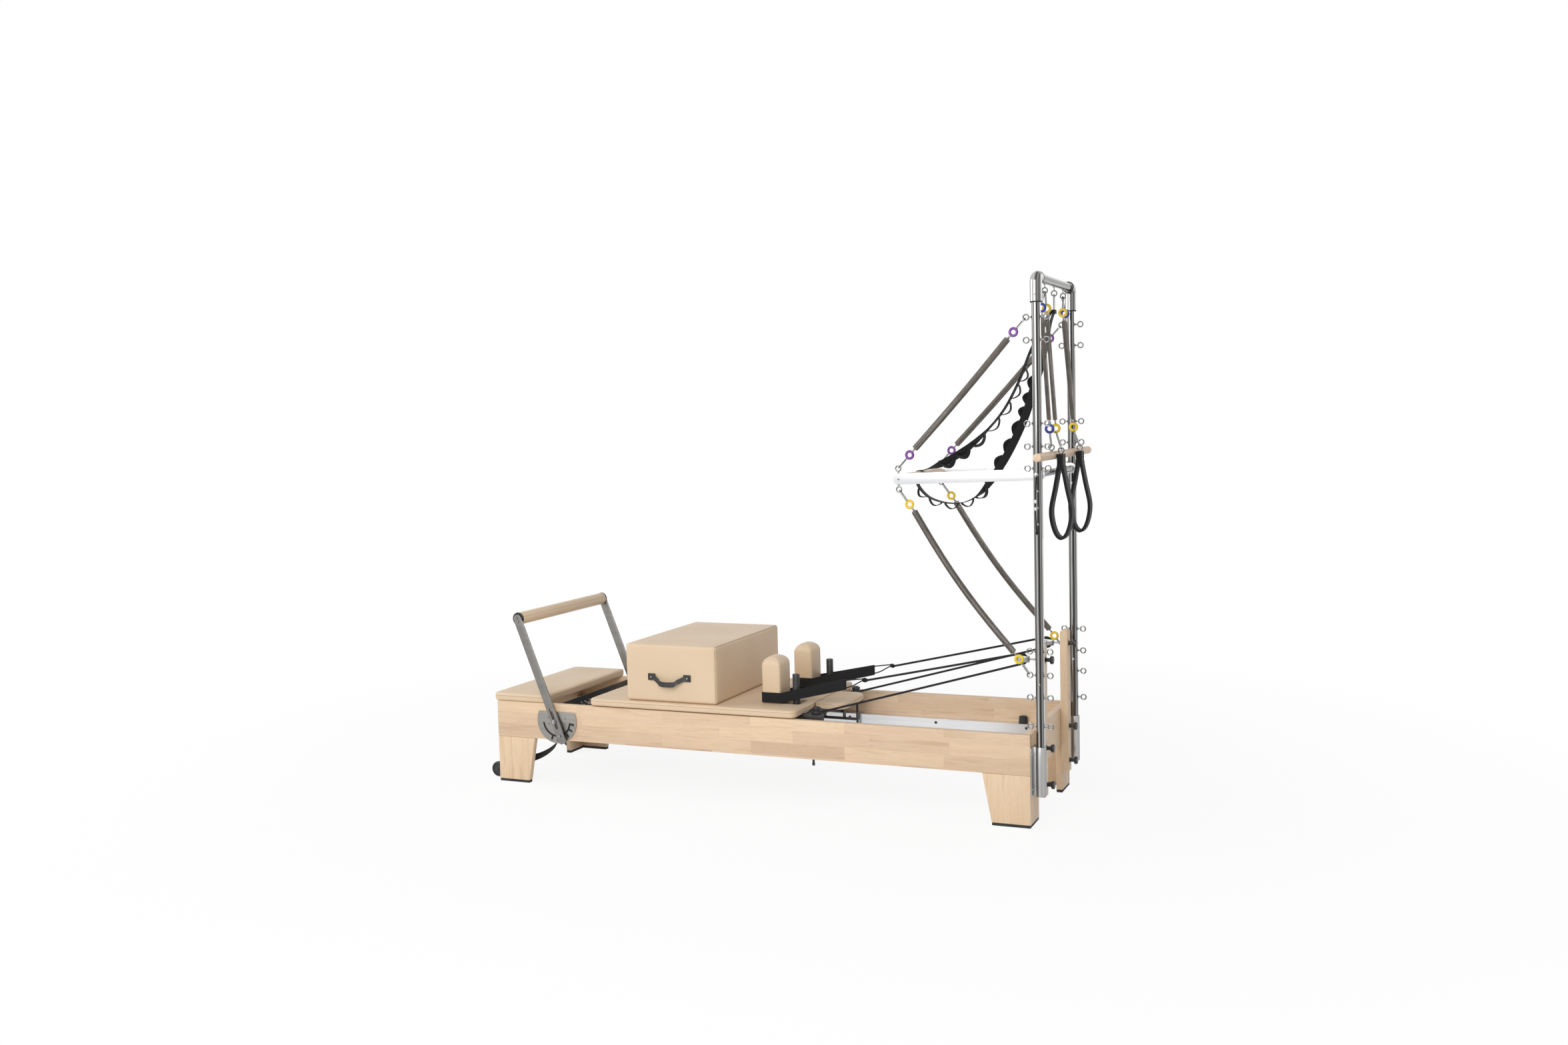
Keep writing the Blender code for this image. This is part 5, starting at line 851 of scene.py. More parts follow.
# Headrest: a small padded board in the same leather, its free corners well rounded. It is hinged
# at the bed's end and stands on its prop when it is raised.
seam = cushion("headrest", "headrest_pad", "headrest", (0.008, 0.045), 0.010, 0.003, 0.021)
add_piece("headrest_seam", seam, thread, "headrest")

# Shoulder rests: upright foam blocks with a round top, covered in the same leather, each on a
# black steel stem that stands in a hole of the bed.
shoulder_x, shoulder_depth, shoulder_y, shoulder_width = foot_end + 1.292, 0.087, 0.1815, 0.120
shoulder_bottom, shoulder_top = bed_high[2] + 0.0005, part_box("shoulder_rest_near")[1][2]
shoulder_round, shoulder_edge = 0.040, 0.010
stem_x, stem_y, stem_drop = (1.331, 1.351), (0.1515, 0.2115), 0.030


def soft_block(x, y, z, top_round, side_round):
    """Upright foam block: its top is rolled over all round and its upright corners are eased."""
    bm = bmesh.new()
    middle = [(a + b) / 2 for a, b in (x, y, z)]
    size = [abs(b - a) for a, b in (x, y, z)]
    bmesh.ops.create_cube(bm, size=1.0, matrix=Matrix.Translation(middle) @ Matrix.Diagonal((*size, 1.0)))
    rims = [e for e in bm.edges if all(v.co.z > middle[2] for v in e.verts)]
    bmesh.ops.bevel(bm, geom=rims, offset=top_round, offset_type="OFFSET", segments=10, profile=0.5,
                    affect="EDGES", material=-1)
    bevelled(bm, [e for e in bm.edges if not e.is_boundary and e.calc_face_angle(0.0) > 0.5], side_round, 4)
    return bm


for side, sign in sides.items():
    y = sorted((sign * (shoulder_y - shoulder_width / 2), sign * (shoulder_y + shoulder_width / 2)))
    bm = soft_block((shoulder_x, shoulder_x + shoulder_depth), y, (shoulder_bottom, shoulder_top),
                    shoulder_round, shoulder_edge)
    add_piece("shoulder_cushion_" + side, bm, leather, "rest_" + side,
                        ["shoulder_rest_" + side], 50)
    stem = bmesh.new()
    slab(stem, from_foot(*stem_x), [sign * place for place in stem_y],
         (bed_low[2] - stem_drop, shoulder_bottom + 0.001), 0.001)
    add_piece("shoulder_stem_" + side, stem, black_metal, "rest_" + side)

# Hand straps: black webbing looped round each shoulder rest and drawn together towards the
# tower, where two ties run into a knot at the end of the rope.
strap_width, strap_thickness, strap_end_x, strap_end_z = 0.045, 0.0026, 1.662, 0.505
strap_clearance, strap_bend, rest_end = 0.0006, 0.010, 1.379
strap_low = bed_high[2] + 0.004 + strap_width / 2
fork_x = (rest_end + strap_end_x) / 2 - 0.05
tie_shift, tie_radius = strap_width * 0.36, 0.0026
knot_x, knot_z, knot_length, knot_wire, knot_core = 1.748, 0.528, 0.020, 0.0036, 0.005
knot_turns = ((-0.006, 0.0095), (0.001, 0.0107), (0.007, 0.0085))
webbing_section = [(-0.5, 0.0), (-0.47, 0.5), (-0.16, 0.5), (0.16, 0.5), (0.47, 0.5),
                   (0.5, 0.0), (0.47, -0.5), (0.16, -0.5), (-0.16, -0.5), (-0.47, -0.5)]


def smoothed(points, steps):
    """Line that bends smoothly through given points, with a number of steps between them."""
    places = [Vector(point) for point in points]
    line = []
    for i in range(len(places) - 1):
        a, b, c, d = (places[min(max(i + k, 0), len(places) - 1)] for k in (-1, 0, 1, 2))
        for k in range(steps):
            t = k / steps
            line.append(0.5 * (2 * b + (c - a) * t + (2 * a - 5 * b + 4 * c - d) * t ** 2
                               + (3 * b - a - 3 * c + d) * t ** 3))
    return line + [places[-1]]


def heading(line, i, closed=False):
    """Direction of a line at one of its points."""
    if closed:
        return line[(i + 1) % len(line)] - line[i - 1]
    return line[min(i + 1, len(line) - 1)] - line[max(i - 1, 0)]


def skin(bm, line, sections, across_uv, closed=False):
    """Faces over sections along a line; their UV map is in metres along it and as given across."""
    uv = bm.loops.layers.uv.verify()
    rows = [[bm.verts.new(point) for point in section] for section in sections]
    count, size, run = len(rows), len(rows[0]), 0.0
    for i in range(count if closed else count - 1):
        there = (i + 1) % count
        start, run = run, run + (line[there] - line[i]).length
        for k in range(size):
            j = (k + 1) % size
            face = bm.faces.new((rows[i][k], rows[i][j], rows[there][j], rows[there][k]))
            corners = ((start, k), (start, k + 1), (run, k + 1), (run, k))
            for loop, (along, place) in zip(face.loops, corners):
                loop[uv].uv = (along, across_uv[place])
    if not closed:
        bm.faces.new(rows[0])
        bm.faces.new(rows[-1])


def strap(bm, line, width, thickness, broad):
    """Webbing along a line, with its width along a direction or along a function's directions."""
    sections = []
    for i, point in enumerate(line):
        wide = (broad(i / (len(line) - 1)) if callable(broad) else Vector(broad)).normalized()
        thin = heading(line, i).cross(wide).normalized()
        sections.append([point + wide * a * width + thin * b * thickness for a, b in webbing_section])
    skin(bm, line, sections, [a * width for a, b in webbing_section + webbing_section[:1]])


def swept(bm, line, radius, sides=8, closed=False):
    """Round wire or cord along a line."""
    sections, normal = [], None
    for i, point in enumerate(line):
        along = heading(line, i, closed).normalized()
        if normal is None:
            normal = along.orthogonal()
        normal = (normal - along * normal.dot(along)).normalized()
        other = along.cross(normal)
        turns = [2 * math.pi * k / sides for k in range(sides)]
        sections.append([point + radius * (math.cos(t) * normal + math.sin(t) * other) for t in turns])
    skin(bm, line, sections, [0.02 * k / sides for k in range(sides + 1)], closed)


def woven(name, light, dark, rib, roughness=0.85):
    """Webbing or braided cord: ribs across and a finer weave along its UV map."""
    material, tree = new_material(name, {"Roughness": roughness, "Sheen Weight": 0.15,
                                         "Specular IOR Level": 0.15})
    vector = mapped(tree, source="UV")
    ribs, fine = (add_node(tree, "TexWave", {"Vector": vector, "Scale": scale, "Distortion": 0.6},
                           bands_direction=way).outputs["Fac"]
                  for scale, way in ((1.0 / rib / 3.2, "X"), (1.0 / rib / 1.6, "DIAGONAL")))
    height = add_node(tree, "Math", {0: ribs, 1: 0.6, 2: fine}, operation="MULTIPLY_ADD").outputs[0]
    wear = noise(tree, mapped(tree), 40.0)
    light, dark = (*light, 1.0), (*dark, 1.0)
    finished(tree, height, 0.35, 0.0006,
             {"Base Color": mixed(tree, wear, mixed(tree, height, dark, light), light)})
    return material


webbing = woven("black_webbing_ribbed", (0.015, 0.015, 0.016), (0.005, 0.005, 0.006), 0.0024, 0.7)
braid = woven("black_braided_rope", (0.024, 0.024, 0.026), (0.006, 0.006, 0.007), 0.0016)
wrap_half = shoulder_width / 2 + strap_thickness / 2 + strap_clearance
wrap_back = shoulder_x - foot_end - strap_thickness / 2 - strap_clearance + strap_bend
for side, sign in sides.items():
    middle = sign * shoulder_y
    wrap = [(rest_end + 0.004, -wrap_half), (wrap_back + 0.002, -wrap_half)]
    wrap += arc((wrap_back, strap_bend - wrap_half), strap_bend, 255, 180, 4)
    wrap += [(x, -y) for x, y in wrap[::-1]]
    bm = bmesh.new()
    strap(bm, [at(x, middle + y, strap_low) for x, y in wrap], strap_width, strap_thickness, (0, 0, 1))
    add_piece("hand_strap_wrap_" + side, bm, webbing, "carriage", ["hand_strap_" + side])
    bm = bmesh.new()
    free = [(rest_end + 0.003, -wrap_half), (fork_x, -wrap_half * 0.60), (strap_end_x - 0.035, -0.013),
            (strap_end_x - 0.006, -0.007), (strap_end_x, 0.0)]
    free += [(x, -y) for x, y in free[-2::-1]]
    rise = (strap_end_z - strap_low) / (strap_end_x - rest_end)
    line = smoothed([at(x, middle + y, strap_low + max(0.0, x - rest_end) * rise) for x, y in free], 6)
    strap(bm, line, strap_width, strap_thickness, (0, 0, 1))
    knot = at(knot_x, middle, knot_z)
    for shift in (-tie_shift, tie_shift):
        tie = [at(strap_end_x - 0.002, middle, strap_end_z + shift),
               at(strap_end_x + 0.03, middle + 0.002, strap_end_z + shift * 0.8 + 0.008),
               knot + Vector((-0.012, 0, shift * 0.22)), knot + Vector((0.004, 0, shift * 0.1))]
        swept(bm, smoothed(tie, 5), tie_radius)
    for x, outer in knot_turns:
        ring(bm, knot + Vector((x, 0, 0)), (1, 0.25 * sign, 0.2), outer - knot_wire, knot_wire, 20, 8)
    half = Vector((knot_length / 2, 0, 0))
    swept(bm, [knot - half, knot + half], knot_core, 10)
    piece = add_piece("hand_strap_free_" + side, bm, webbing, "carriage",
                      ["hand_strap_" + side])
    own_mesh(piece)

# Ropes: black braided rope from each hand strap's knot over its pulley and back to the cleat on
# the carriage.
rope_radius, rope_steps, rope_sag = 0.0046, 24, 0.0005
sheave_x, sheave_y, sheave_z, sheave_radius = 2.440, 0.220, 0.657, 0.0155
rope_wrap = (sheave_radius + rope_radius + gap) * 1.05


for side, sign in sides.items():
    turn = [at(sheave_x + x, sign * sheave_y, sheave_z + z) for x, z in arc((0, 0), rope_wrap, 95, -95, 20)]
    knot_end = at(knot_x + knot_length / 2 + 0.0012, sign * shoulder_y, knot_z)
    cleat_end = at(cleat_x + cleat_radius + 0.0015, sign * beam_y, bed_low[2] + cleat_height * 0.35)
    bm = bmesh.new()
    swept(bm, turn, rope_radius, 10)
    wrap_piece = add_piece("rope_wrap_" + side, bm, braid, "frame", ["rope_" + side])
    for run, start, end, keep, others in (("upper", knot_end, turn[0], 0.078, [wrap_piece]),
                                          ("lower", cleat_end, turn[-1], 0.060, [])):
        line = sagging(start, end, Vector((0, 0, -rope_sag)), rope_steps)
        bm = bmesh.new()
        swept(bm, line, rope_radius, 10)
        piece = add_piece(f"rope_{run}_{side}", bm, braid, "frame", ["rope_" + side])
        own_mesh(piece)

# Carriage springs: five close-wound steel springs from the hooks on the spring bar to the
# carriage's first cross bar, each with a black plastic cap at the carriage's end.
spring_steel = mottled("spring_wire", (0.25, 0.225, 0.20), (0.19, 0.17, 0.15), 20.0, 0.40, 500.0, 0.02,
                       metallic=1.0)
spring_start, spring_end, cap_length = hook_x - foot_end + 0.018, 0.5097, 0.022
spring_radius, spring_wire, spring_pitch = 0.012, 0.0013, 0.0042
spring_loop, spring_loop_wire, spring_cap_radius = 0.0072, 0.0015, 0.0118
coil_sides, coil_steps = 6, 10


def coil(bm, line, radius, wire, pitch):
    """Wire wound closely round a line, drawn in to the line over its first and last turns."""
    gaps = [(b - a).length for a, b in zip(line, line[1:])]
    total = sum(gaps)
    count = round(total / pitch) * coil_steps
    path, spot, done = [], 0, 0.0
    side = Vector((0, 1, 0))
    for i in range(count + 1):
        distance = total * i / count
        while spot < len(gaps) - 1 and done + gaps[spot] < distance:
            done += gaps[spot]
            spot += 1
        along = (line[spot + 1] - line[spot]).normalized()
        first = (side - along * side.dot(along)).normalized()
        angle = 2 * math.pi * i / coil_steps
        drawn_in = min(1.0, 0.25 + i / (1.5 * coil_steps), 0.25 + (count - i) / (1.5 * coil_steps))
        path.append(line[spot] + along * (distance - done) + (radius - wire) * drawn_in
                    * (math.cos(angle) * first + math.sin(angle) * along.cross(first)))
    swept(bm, path, wire, coil_sides)


bm, caps = bmesh.new(), bmesh.new()
for y in spring_rows:
    start, end = at(spring_start, y, hook_z), at(spring_end - cap_length, y, hook_z)
    coil(bm, [start, end], spring_radius, spring_wire, spring_pitch)
    ring(bm, start - Vector((0.006, 0, 0)), (0, 1, 0), spring_loop, spring_loop_wire, 20, 8)
    rod(caps, end - Vector((0.010, 0, 0)), at(spring_end, y, hook_z), spring_cap_radius, 24, 0.002)
piece = add_piece("carriage_spring_coils", bm, spring_steel, None, ["carriage_springs"])
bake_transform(piece)
add_piece("carriage_spring_caps", caps, rubber, "carriage", ["carriage_springs"])

# Sitting box: a foam-covered wooden box upholstered in the same leather, its edges softly
# rounded, with a seam along the top end edge and down the near corner.
box_low, box_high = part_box("sitting_box")
box_edge, box_cuts, side_swell, top_swell = 0.013, 12, 0.0016, 0.0022
seam_x, seam_z, seam_y = box_high[0] - 0.0045, box_high[2] - 0.0056, box_low[1] + 0.0041
bm = bmesh.new()
slab(bm, (box_low[0] + 0.001, box_high[0] - 0.001), (box_low[1] + 0.001, box_high[1] - 0.001),
     (box_low[2], box_high[2] - 0.002), box_edge, 5)
middle, half = (Vector(box_high) + Vector(box_low)) / 2, (Vector(box_high) - Vector(box_low)) / 2
for axis in range(3):
    normal = Vector([1.0 if k == axis else 0.0 for k in range(3)])
    for i in range(1, box_cuts):
        place = box_low[axis] + (box_high[axis] - box_low[axis]) * i / box_cuts
        bmesh.ops.bisect_plane(bm, geom=bm.verts[:] + bm.edges[:] + bm.faces[:], plane_co=normal * place,
                               plane_no=normal)
for v in bm.verts:
    share = [(v.co[k] - middle[k]) / half[k] for k in range(3)]
    for k in range(3):
        if abs(share[k]) > 0.985 and not (k == 2 and share[k] < 0):
            swell = top_swell if k == 2 else side_swell
            rises = [max(0.0, 1 - share[j] ** 4) for j in range(3) if j != k]
            v.co[k] += math.copysign(swell, share[k]) * math.sqrt(rises[0] * rises[1])
add_piece("sitting_box_cover", bm, leather, "box", ["sitting_box"], 50)
bm = bmesh.new()
swept(bm, [Vector((seam_x, y, seam_z)) for y in (seam_y + 0.014, 0.0, -seam_y - 0.014)], 0.0009, 6)
swept(bm, [Vector((seam_x - 0.0005, seam_y, z)) for z in (box_low[2] + 0.012, seam_z - 0.012)], 0.0008, 6)
add_piece("sitting_box_seams", bm, thread, "box")

# Box handle: a black leather strap on the near side of the box, which bows out and sags between
# two tabs. Each tab is held by a bright rivet.
handle_x, handle_half, handle_width, handle_thickness = foot_end + 0.896, 0.089, 0.026, 0.0036
handle_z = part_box("box_handle")[1][2] - 0.011
handle_face = box_low[1] - 0.0012
tab_outer, tab_inner, tab_half, tab_tail = 0.016, 0.020, 0.0150, 0.010
rivet_radius, rivet_rim, rivet_height = 0.0060, 0.0042, 0.0032
black_leather = mottled("black_handle_leather", (0.030, 0.028, 0.027), (0.012, 0.011, 0.011), 50.0, 0.45,
                        600.0, 0.15, cells=True)
half_route = [(-handle_half - tab_tail, 0.0, 0.0), (-handle_half, -0.001, 0.0),
              (-handle_half + 0.018, -0.006, -0.004), (-handle_half + 0.042, -0.020, -0.015),
              (-0.028, -0.026, -0.026)]
route = half_route + [(-x, y, z) for x, y, z in half_route[::-1]]
bm = bmesh.new()
strap(bm, smoothed([(handle_x + x, handle_face + y - 0.001, handle_z + z) for x, y, z in route], 5),
      handle_width * 0.88, handle_thickness, (0, 0.18, 1))
rivets = bmesh.new()
for way, low, high in ((-1, tab_outer, tab_inner), (1, tab_inner, tab_outer)):
    middle = handle_x + way * handle_half
    slab(bm, (middle - low, middle + high), (handle_face - 0.0044, handle_face + 0.0008),
         (handle_z - tab_half, handle_z + tab_half), 0.0012)
    seat = Vector((middle, handle_face - 0.004, handle_z))
    rod(rivets, seat, seat - across(rivet_height), rivet_radius, 24, 0.001, rivet_rim)
add_piece("box_handle_strap", bm, black_leather, "box", ["box_handle"])
add_piece("box_handle_rivets", rivets, steel, "box")

# Pulley risers: two upright staves on the tower's end board, each held by two black knobs, with
# a third knob on the eye of its pulley. The pulley's bright block holds a black sheave.
riser_front, riser_back, riser_bottom, riser_top = 2.5043, 2.5363, 0.100, 0.716
riser_half, riser_round, riser_edge = 0.030, 0.012, 0.0015
knob_heights = (0.147, 0.297, sheave_z)
knob_stem, knob_radius, knob_length, knob_disc, knob_washer = 0.008, 0.0165, 0.034, 0.014, 0.012
knob_grips, knob_grip_radius, knob_grip_inset = 10, 0.0035, 0.0015
cheek_inner, cheek_thickness, cheek_half, cheek_tail_half = 0.0066, 0.003, 0.0155, 0.0125
block_back = sheave_x + 0.0185 + 2 * rope_radius + 0.0006
block_front = block_back + 0.003 - 0.046
block_pin_radius, block_pin_head, block_eye_radius, block_nut_radius = 0.0028, 0.0052, 0.004, 0.0082
sheave_half, sheave_rim, sheave_bore = 0.006, 0.0185, 0.0036
knob_plastic = mottled("black_knob_plastic", (0.026, 0.026, 0.028), (0.014, 0.014, 0.015), 40.0, 0.36,
                       800.0, 0.06)


def turned(bm, centre, profile, steps, closed=True):
    """Solid turned about Y from radii and places along Y; an open profile gets flat ends."""
    points = [bm.verts.new((centre[0] + radius, centre[1] + y, centre[2])) for radius, y in profile]
    edges = [bm.edges.new((points[i - 1], points[i])) for i in range(0 if closed else 1, len(points))]
    bmesh.ops.spin(bm, geom=points + edges, cent=centre, axis=(0, 1, 0), dvec=(0, 0, 0),
                   angle=2 * math.pi, steps=steps, use_merge=True)
    if not closed:
        bmesh.ops.holes_fill(bm, edges=[e for e in bm.edges if e.is_boundary], sides=0)


def mirrored_profile(half):
    """Profile of radii and places along Y from its half on the low side of its middle."""
    return half + [(radius, -y) for radius, y in half[::-1] if y]


for side, sign in sides.items():
    y = sign * sheave_y
    outline = [(riser_front, riser_bottom), (riser_back, riser_bottom)]
    outline += arc((riser_back - riser_round, riser_top - riser_round), riser_round, 0, 90, 6)
    outline += arc((riser_front + riser_round, riser_top - riser_round), riser_round, 90, 180, 6)
    bm = bmesh.new()
    extruded(bm, [(foot_end + x, z) for x, z in outline], "Y", y - riser_half, y + riser_half, riser_edge)
    add_piece("riser_board_" + side, bm, wood_upright, "frame", ["riser_" + side])
    bm = bmesh.new()
    for z in knob_heights:
        disc_x = riser_back + knob_length - knob_disc
        start, end = at(disc_x, y, z), at(disc_x + knob_disc, y, z)
        inset = Vector((knob_grip_inset, 0, 0))
        rod(bm, at(riser_back - 0.001, y, z), at(disc_x + 0.001, y, z), knob_stem, 24, 0.0006)
        rod(bm, start, end, knob_radius * 0.93, 32, 0.003)
        for k in range(knob_grips):
            out = Vector((0, *polar((0, 0), knob_radius - knob_grip_radius, 360 * k / knob_grips)))
            rod(bm, start + out + inset, end + out - inset, knob_grip_radius, 12, 0.0008)
        rod(bm, at(riser_back, y, z), at(riser_back + 0.002, y, z), knob_washer, 28, 0.0006)
    add_piece("riser_knobs_" + side, bm, knob_plastic, "frame", ["riser_" + side])
    bm = bmesh.new()
    front, back = foot_end + block_front, foot_end + block_back
    tail = [(back - 0.004, sheave_z - cheek_tail_half), (back + 0.003, sheave_z - cheek_tail_half),
            (back + 0.003, sheave_z + cheek_tail_half), (back - 0.004, sheave_z + cheek_tail_half)]
    plan = arc((front + 0.010, sheave_z), cheek_half, 110, 250, 8) + tail
    plan = [(max(x, front), z) for x, z in plan]
    centre = at(sheave_x, y, sheave_z)
    for way in (-1, 1):
        low, high = sorted((way * cheek_inner, way * (cheek_inner + cheek_thickness)))
        extruded(bm, plan, "Y", y + low, y + high, 0.0006)
        rod(bm, centre + across(way * (cheek_inner + 0.002)), centre + across(way * (cheek_inner + 0.0042)),
            block_pin_head, 20, 0.0006)
    slab(bm, (back, back + 0.0028), (y - cheek_inner - 0.001, y + cheek_inner + 0.001),
         (sheave_z - cheek_tail_half, sheave_z + cheek_tail_half), 0.0006)
    rod(bm, (back + 0.001, y, sheave_z), at(riser_front + 0.001, y, sheave_z), block_eye_radius, 20, 0.0004)
    rod(bm, at(riser_front - 0.006, y, sheave_z), at(riser_front - 0.0002, y, sheave_z), block_nut_radius,
        6, 0.0006)
    rod(bm, centre - across(cheek_inner + 0.001), centre + across(cheek_inner + 0.001), block_pin_radius, 16)
    add_piece("pulley_block_" + side, bm, steel, "frame", ["riser_" + side])
    bm = bmesh.new()
    turned(bm, centre, mirrored_profile([(sheave_bore, -sheave_half), (sheave_rim, -sheave_half),
                                         (sheave_rim, -0.0052), (0.0163, -0.0025), (sheave_radius, 0.0)]),
           40)
    add_piece("pulley_sheave_" + side, bm, knob_plastic, "pulley_" + side,
              ["sheave_" + side])

# Tower sockets and posts: aluminium sleeves screwed to the end board hold two chromed tubes with
# eye bolts at nine heights on both sides, nuts under the eyes, and pin holes through them. A pin
# with a pull ring holds each arm of the push-through bar to its post.
post_x, post_y, post_radius, post_top = 2.5375, 0.318, 0.018, 2.0777
sleeve_bottom, sleeve_top, sleeve_radius, sleeve_clearance = 0.126, 0.324, 0.0215, 0.0008
flange_x, flange_half, web_half = (2.5043, 2.5088), 0.042, 0.012
flange_screw_y, flange_screw_z = 0.033, (0.155, 0.295)
flange_screw_radius, flange_screw_head = 0.0052, 0.0024
eye_heights = (0.406, 0.521, 0.611, 0.706, 1.431, 1.517, 1.607, 1.932, 2.021)
eye_offset, eye_ring, eye_wire, eye_nut_radius = 0.0405, 0.011, 0.0028, 0.0052
pin_holes, pin_hole_radius = (0.574, 1.2115, 1.2765, 1.3415), 0.0051
pivot_height, pivot_pin_radius, pivot_pin_end = 1.4065, 0.0045, 0.2905
pin_collar_radius, pin_head_radius, pin_head_length = 0.0075, 0.0085, 0.012
pull_ring, pull_wire = 0.0083, 0.0012
# Painted reflections: the chrome's base colour is light and dark bands set by which way each face turns
# along X.
chrome = painted_reflection_metal("polished_chrome", ((0.0, 0.45), (0.14, 0.22), (0.30, 0.13), (0.43, 0.62), (0.51, 0.22),
                                       (0.60, 0.035), (0.73, 0.045), (0.80, 0.36), (0.88, 0.07),
                                       (0.985, 0.55)), 0.10)
# Painted reflections on the sleeves too, in softer bands.
satin = painted_reflection_metal("satin_sleeve", ((0.0, 0.50), (0.30, 0.36), (0.45, 0.58), (0.60, 0.38), (0.80, 0.46),
                                   (1.0, 0.34)), 0.30)


def eye_bolt(bm, centre, way, reach):
    """Closed eye about Y with its shank and a nut, the shank running from the eye against a direction."""
    way = Vector(way)
    ring(bm, centre, (0, 1, 0), eye_ring, eye_wire)
    rod(bm, centre - way * (eye_ring - 0.001), centre - way * reach, eye_wire * 0.9, 14)
    rod(bm, centre - way * (reach - 0.0045), centre - way * (reach - 0.0010), eye_nut_radius, 6, 0.0005)


for side, sign in sides.items():
    y = sign * post_y
    socket, bore = bmesh.new(), bmesh.new()
    rod(socket, at(post_x, y, sleeve_bottom), at(post_x, y, sleeve_top), sleeve_radius, 48, 0.0008)
    rod(bore, at(post_x, y, sleeve_bottom - 0.01), at(post_x, y, sleeve_top + 0.01),
        post_radius + sleeve_clearance, 48)
    add_piece("sleeve_socket_" + side, cut_out(socket, bore), satin, "frame",
              ["sleeve_" + side])
    bm = bmesh.new()
    slab(bm, from_foot(*flange_x), (y - flange_half, y + flange_half), (sleeve_bottom, sleeve_top), 0.0012)
    slab(bm, from_foot(2.508, post_x - sleeve_radius + 0.004), (y - web_half, y + web_half),
         (sleeve_bottom + 0.001, sleeve_top - 0.001), 0.0008)
    add_piece("sleeve_flange_" + side, bm, satin, "frame", ["sleeve_" + side])
    bm = bmesh.new()
    for way in (-1, 1):
        for z in flange_screw_z:
            seat = at(flange_x[1] - 0.0002, y + way * flange_screw_y, z)
            rod(bm, seat, seat + Vector((flange_screw_head, 0, 0)), flange_screw_radius, 6, 0.0005)
    add_piece("sleeve_screws_" + side, bm, steel, "frame", ["sleeve_" + side])
    bm, bores = bmesh.new(), []
    rod(bm, at(post_x, y, sleeve_bottom), at(post_x, y, post_top), post_radius, 64)
    for z in pin_holes:
        bores.append(bmesh.new())
        rod(bores[-1], at(post_x, y - 0.03, z), at(post_x, y + 0.03, z), pin_hole_radius, 20)
    add_piece("post_tube_" + side, cut_out(bm, *bores), chrome, "frame", ["post_" + side])
    bm = bmesh.new()
    for z in eye_heights:
        for way in (-1, 1):
            eye_bolt(bm, at(post_x + way * eye_offset, y, z), (way, 0, 0), eye_offset - post_radius + 0.001)
    add_piece("post_eyes_" + side, bm, steel, "frame", ["post_" + side])
    bm = bmesh.new()
    surface = at(post_x, y + sign * post_radius, pivot_height)
    head = surface + across(sign * 0.004)
    rod(bm, head + across(sign * 0.001), at(post_x, sign * pivot_pin_end, pivot_height),
        pivot_pin_radius, 20)
    rod(bm, surface - across(sign * 0.0005), head + across(sign * 0.0005), pin_collar_radius, 24, 0.0008)
    rod(bm, head, head + across(sign * pin_head_length), pin_head_radius, 28, 0.0012)
    ring(bm, head + across(sign * 0.006), (0, 1, 0), pull_ring, pull_wire, 28, 8)
    add_piece("push_bar_pin_" + side, bm, steel, "frame", ["post_" + side])

# Top bar: elbows slipped over the posts on black gasket rings, a chromed tube between them, and
# three eye bolts under it. A screw holds each elbow.
tower_top, elbow_radius, elbow_drop, elbow_reach, elbow_bend = 2.200, 0.0235, 0.122, 0.050, 0.028
top_bar_z = tower_top - elbow_radius
top_eye_y, top_eye_drop = 0.1675, 0.044
elbow_screw_rise, elbow_screw_radius, elbow_screw_head = 0.030, 0.0042, 0.0018
gasket_inset, gasket_wire = 0.0022, 0.0030
# Painted reflections: the elbows' and the cross tubes' base colours are light and dark bands set by which
# way each face turns, along X and along Z.
elbow_metal = painted_reflection_metal("satin_elbow", ((0.0, 0.28), (0.20, 0.50), (0.42, 0.56), (0.52, 0.18), (0.62, 0.05),
                                        (0.74, 0.28), (0.85, 0.09), (1.0, 0.42)), 0.16)
chrome_across = painted_reflection_metal("polished_chrome_across", ((0.0, 0.10), (0.25, 0.28), (0.40, 0.14), (0.55, 0.10),
                                                     (0.70, 0.26), (0.80, 0.55), (0.90, 0.14), (1.0, 0.30)),
                          0.10, "Z")
bm = bmesh.new()
tube_end = at(post_x, post_y - elbow_reach + 0.004, top_bar_z)
rod(bm, tube_end - across(2 * tube_end.y), tube_end, post_radius, 64)
add_piece("top_bar_tube", bm, chrome_across, "frame", ["top_bar"])
elbows, eyes, gaskets = bmesh.new(), bmesh.new(), bmesh.new()
for y in (-top_eye_y, 0.0, top_eye_y):
    eye_bolt(eyes, at(post_x, y, top_bar_z - top_eye_drop), (0, 0, -1), top_eye_drop - post_radius + 0.002)
for sign in sides.values():
    foot = at(post_x, sign * post_y, tower_top - elbow_drop)
    mouth = at(post_x, sign * (post_y - elbow_reach), top_bar_z)
    bend = arc((sign * (post_y - elbow_bend), top_bar_z - elbow_bend), elbow_bend, 0 if sign > 0 else 180,
               90, 10)
    line = [foot, foot + Vector((0, 0, 0.004))] + [at(post_x, y, z) for y, z in bend] + [mouth]
    swept(elbows, line, elbow_radius, 40)
    seat = foot + Vector((0, sign * elbow_radius, elbow_screw_rise))
    rod(eyes, seat - across(sign * 0.001), seat + across(sign * elbow_screw_head), elbow_screw_radius, 20,
        0.0006)
    for centre, axis in ((foot + Vector((0, 0, gasket_wire / 2)), (0, 0, 1)),
                         (mouth + across(sign * gasket_wire / 2), (0, 1, 0))):
        ring(gaskets, centre, axis, elbow_radius - gasket_inset, gasket_wire, 48)
add_piece("top_bar_elbows", elbows, elbow_metal, "frame", ["top_bar"], 40)
add_piece("top_bar_eyes", eyes, steel, "frame", ["top_bar"])
add_piece("top_bar_gaskets", gaskets, rubber, "frame", ["top_bar"])

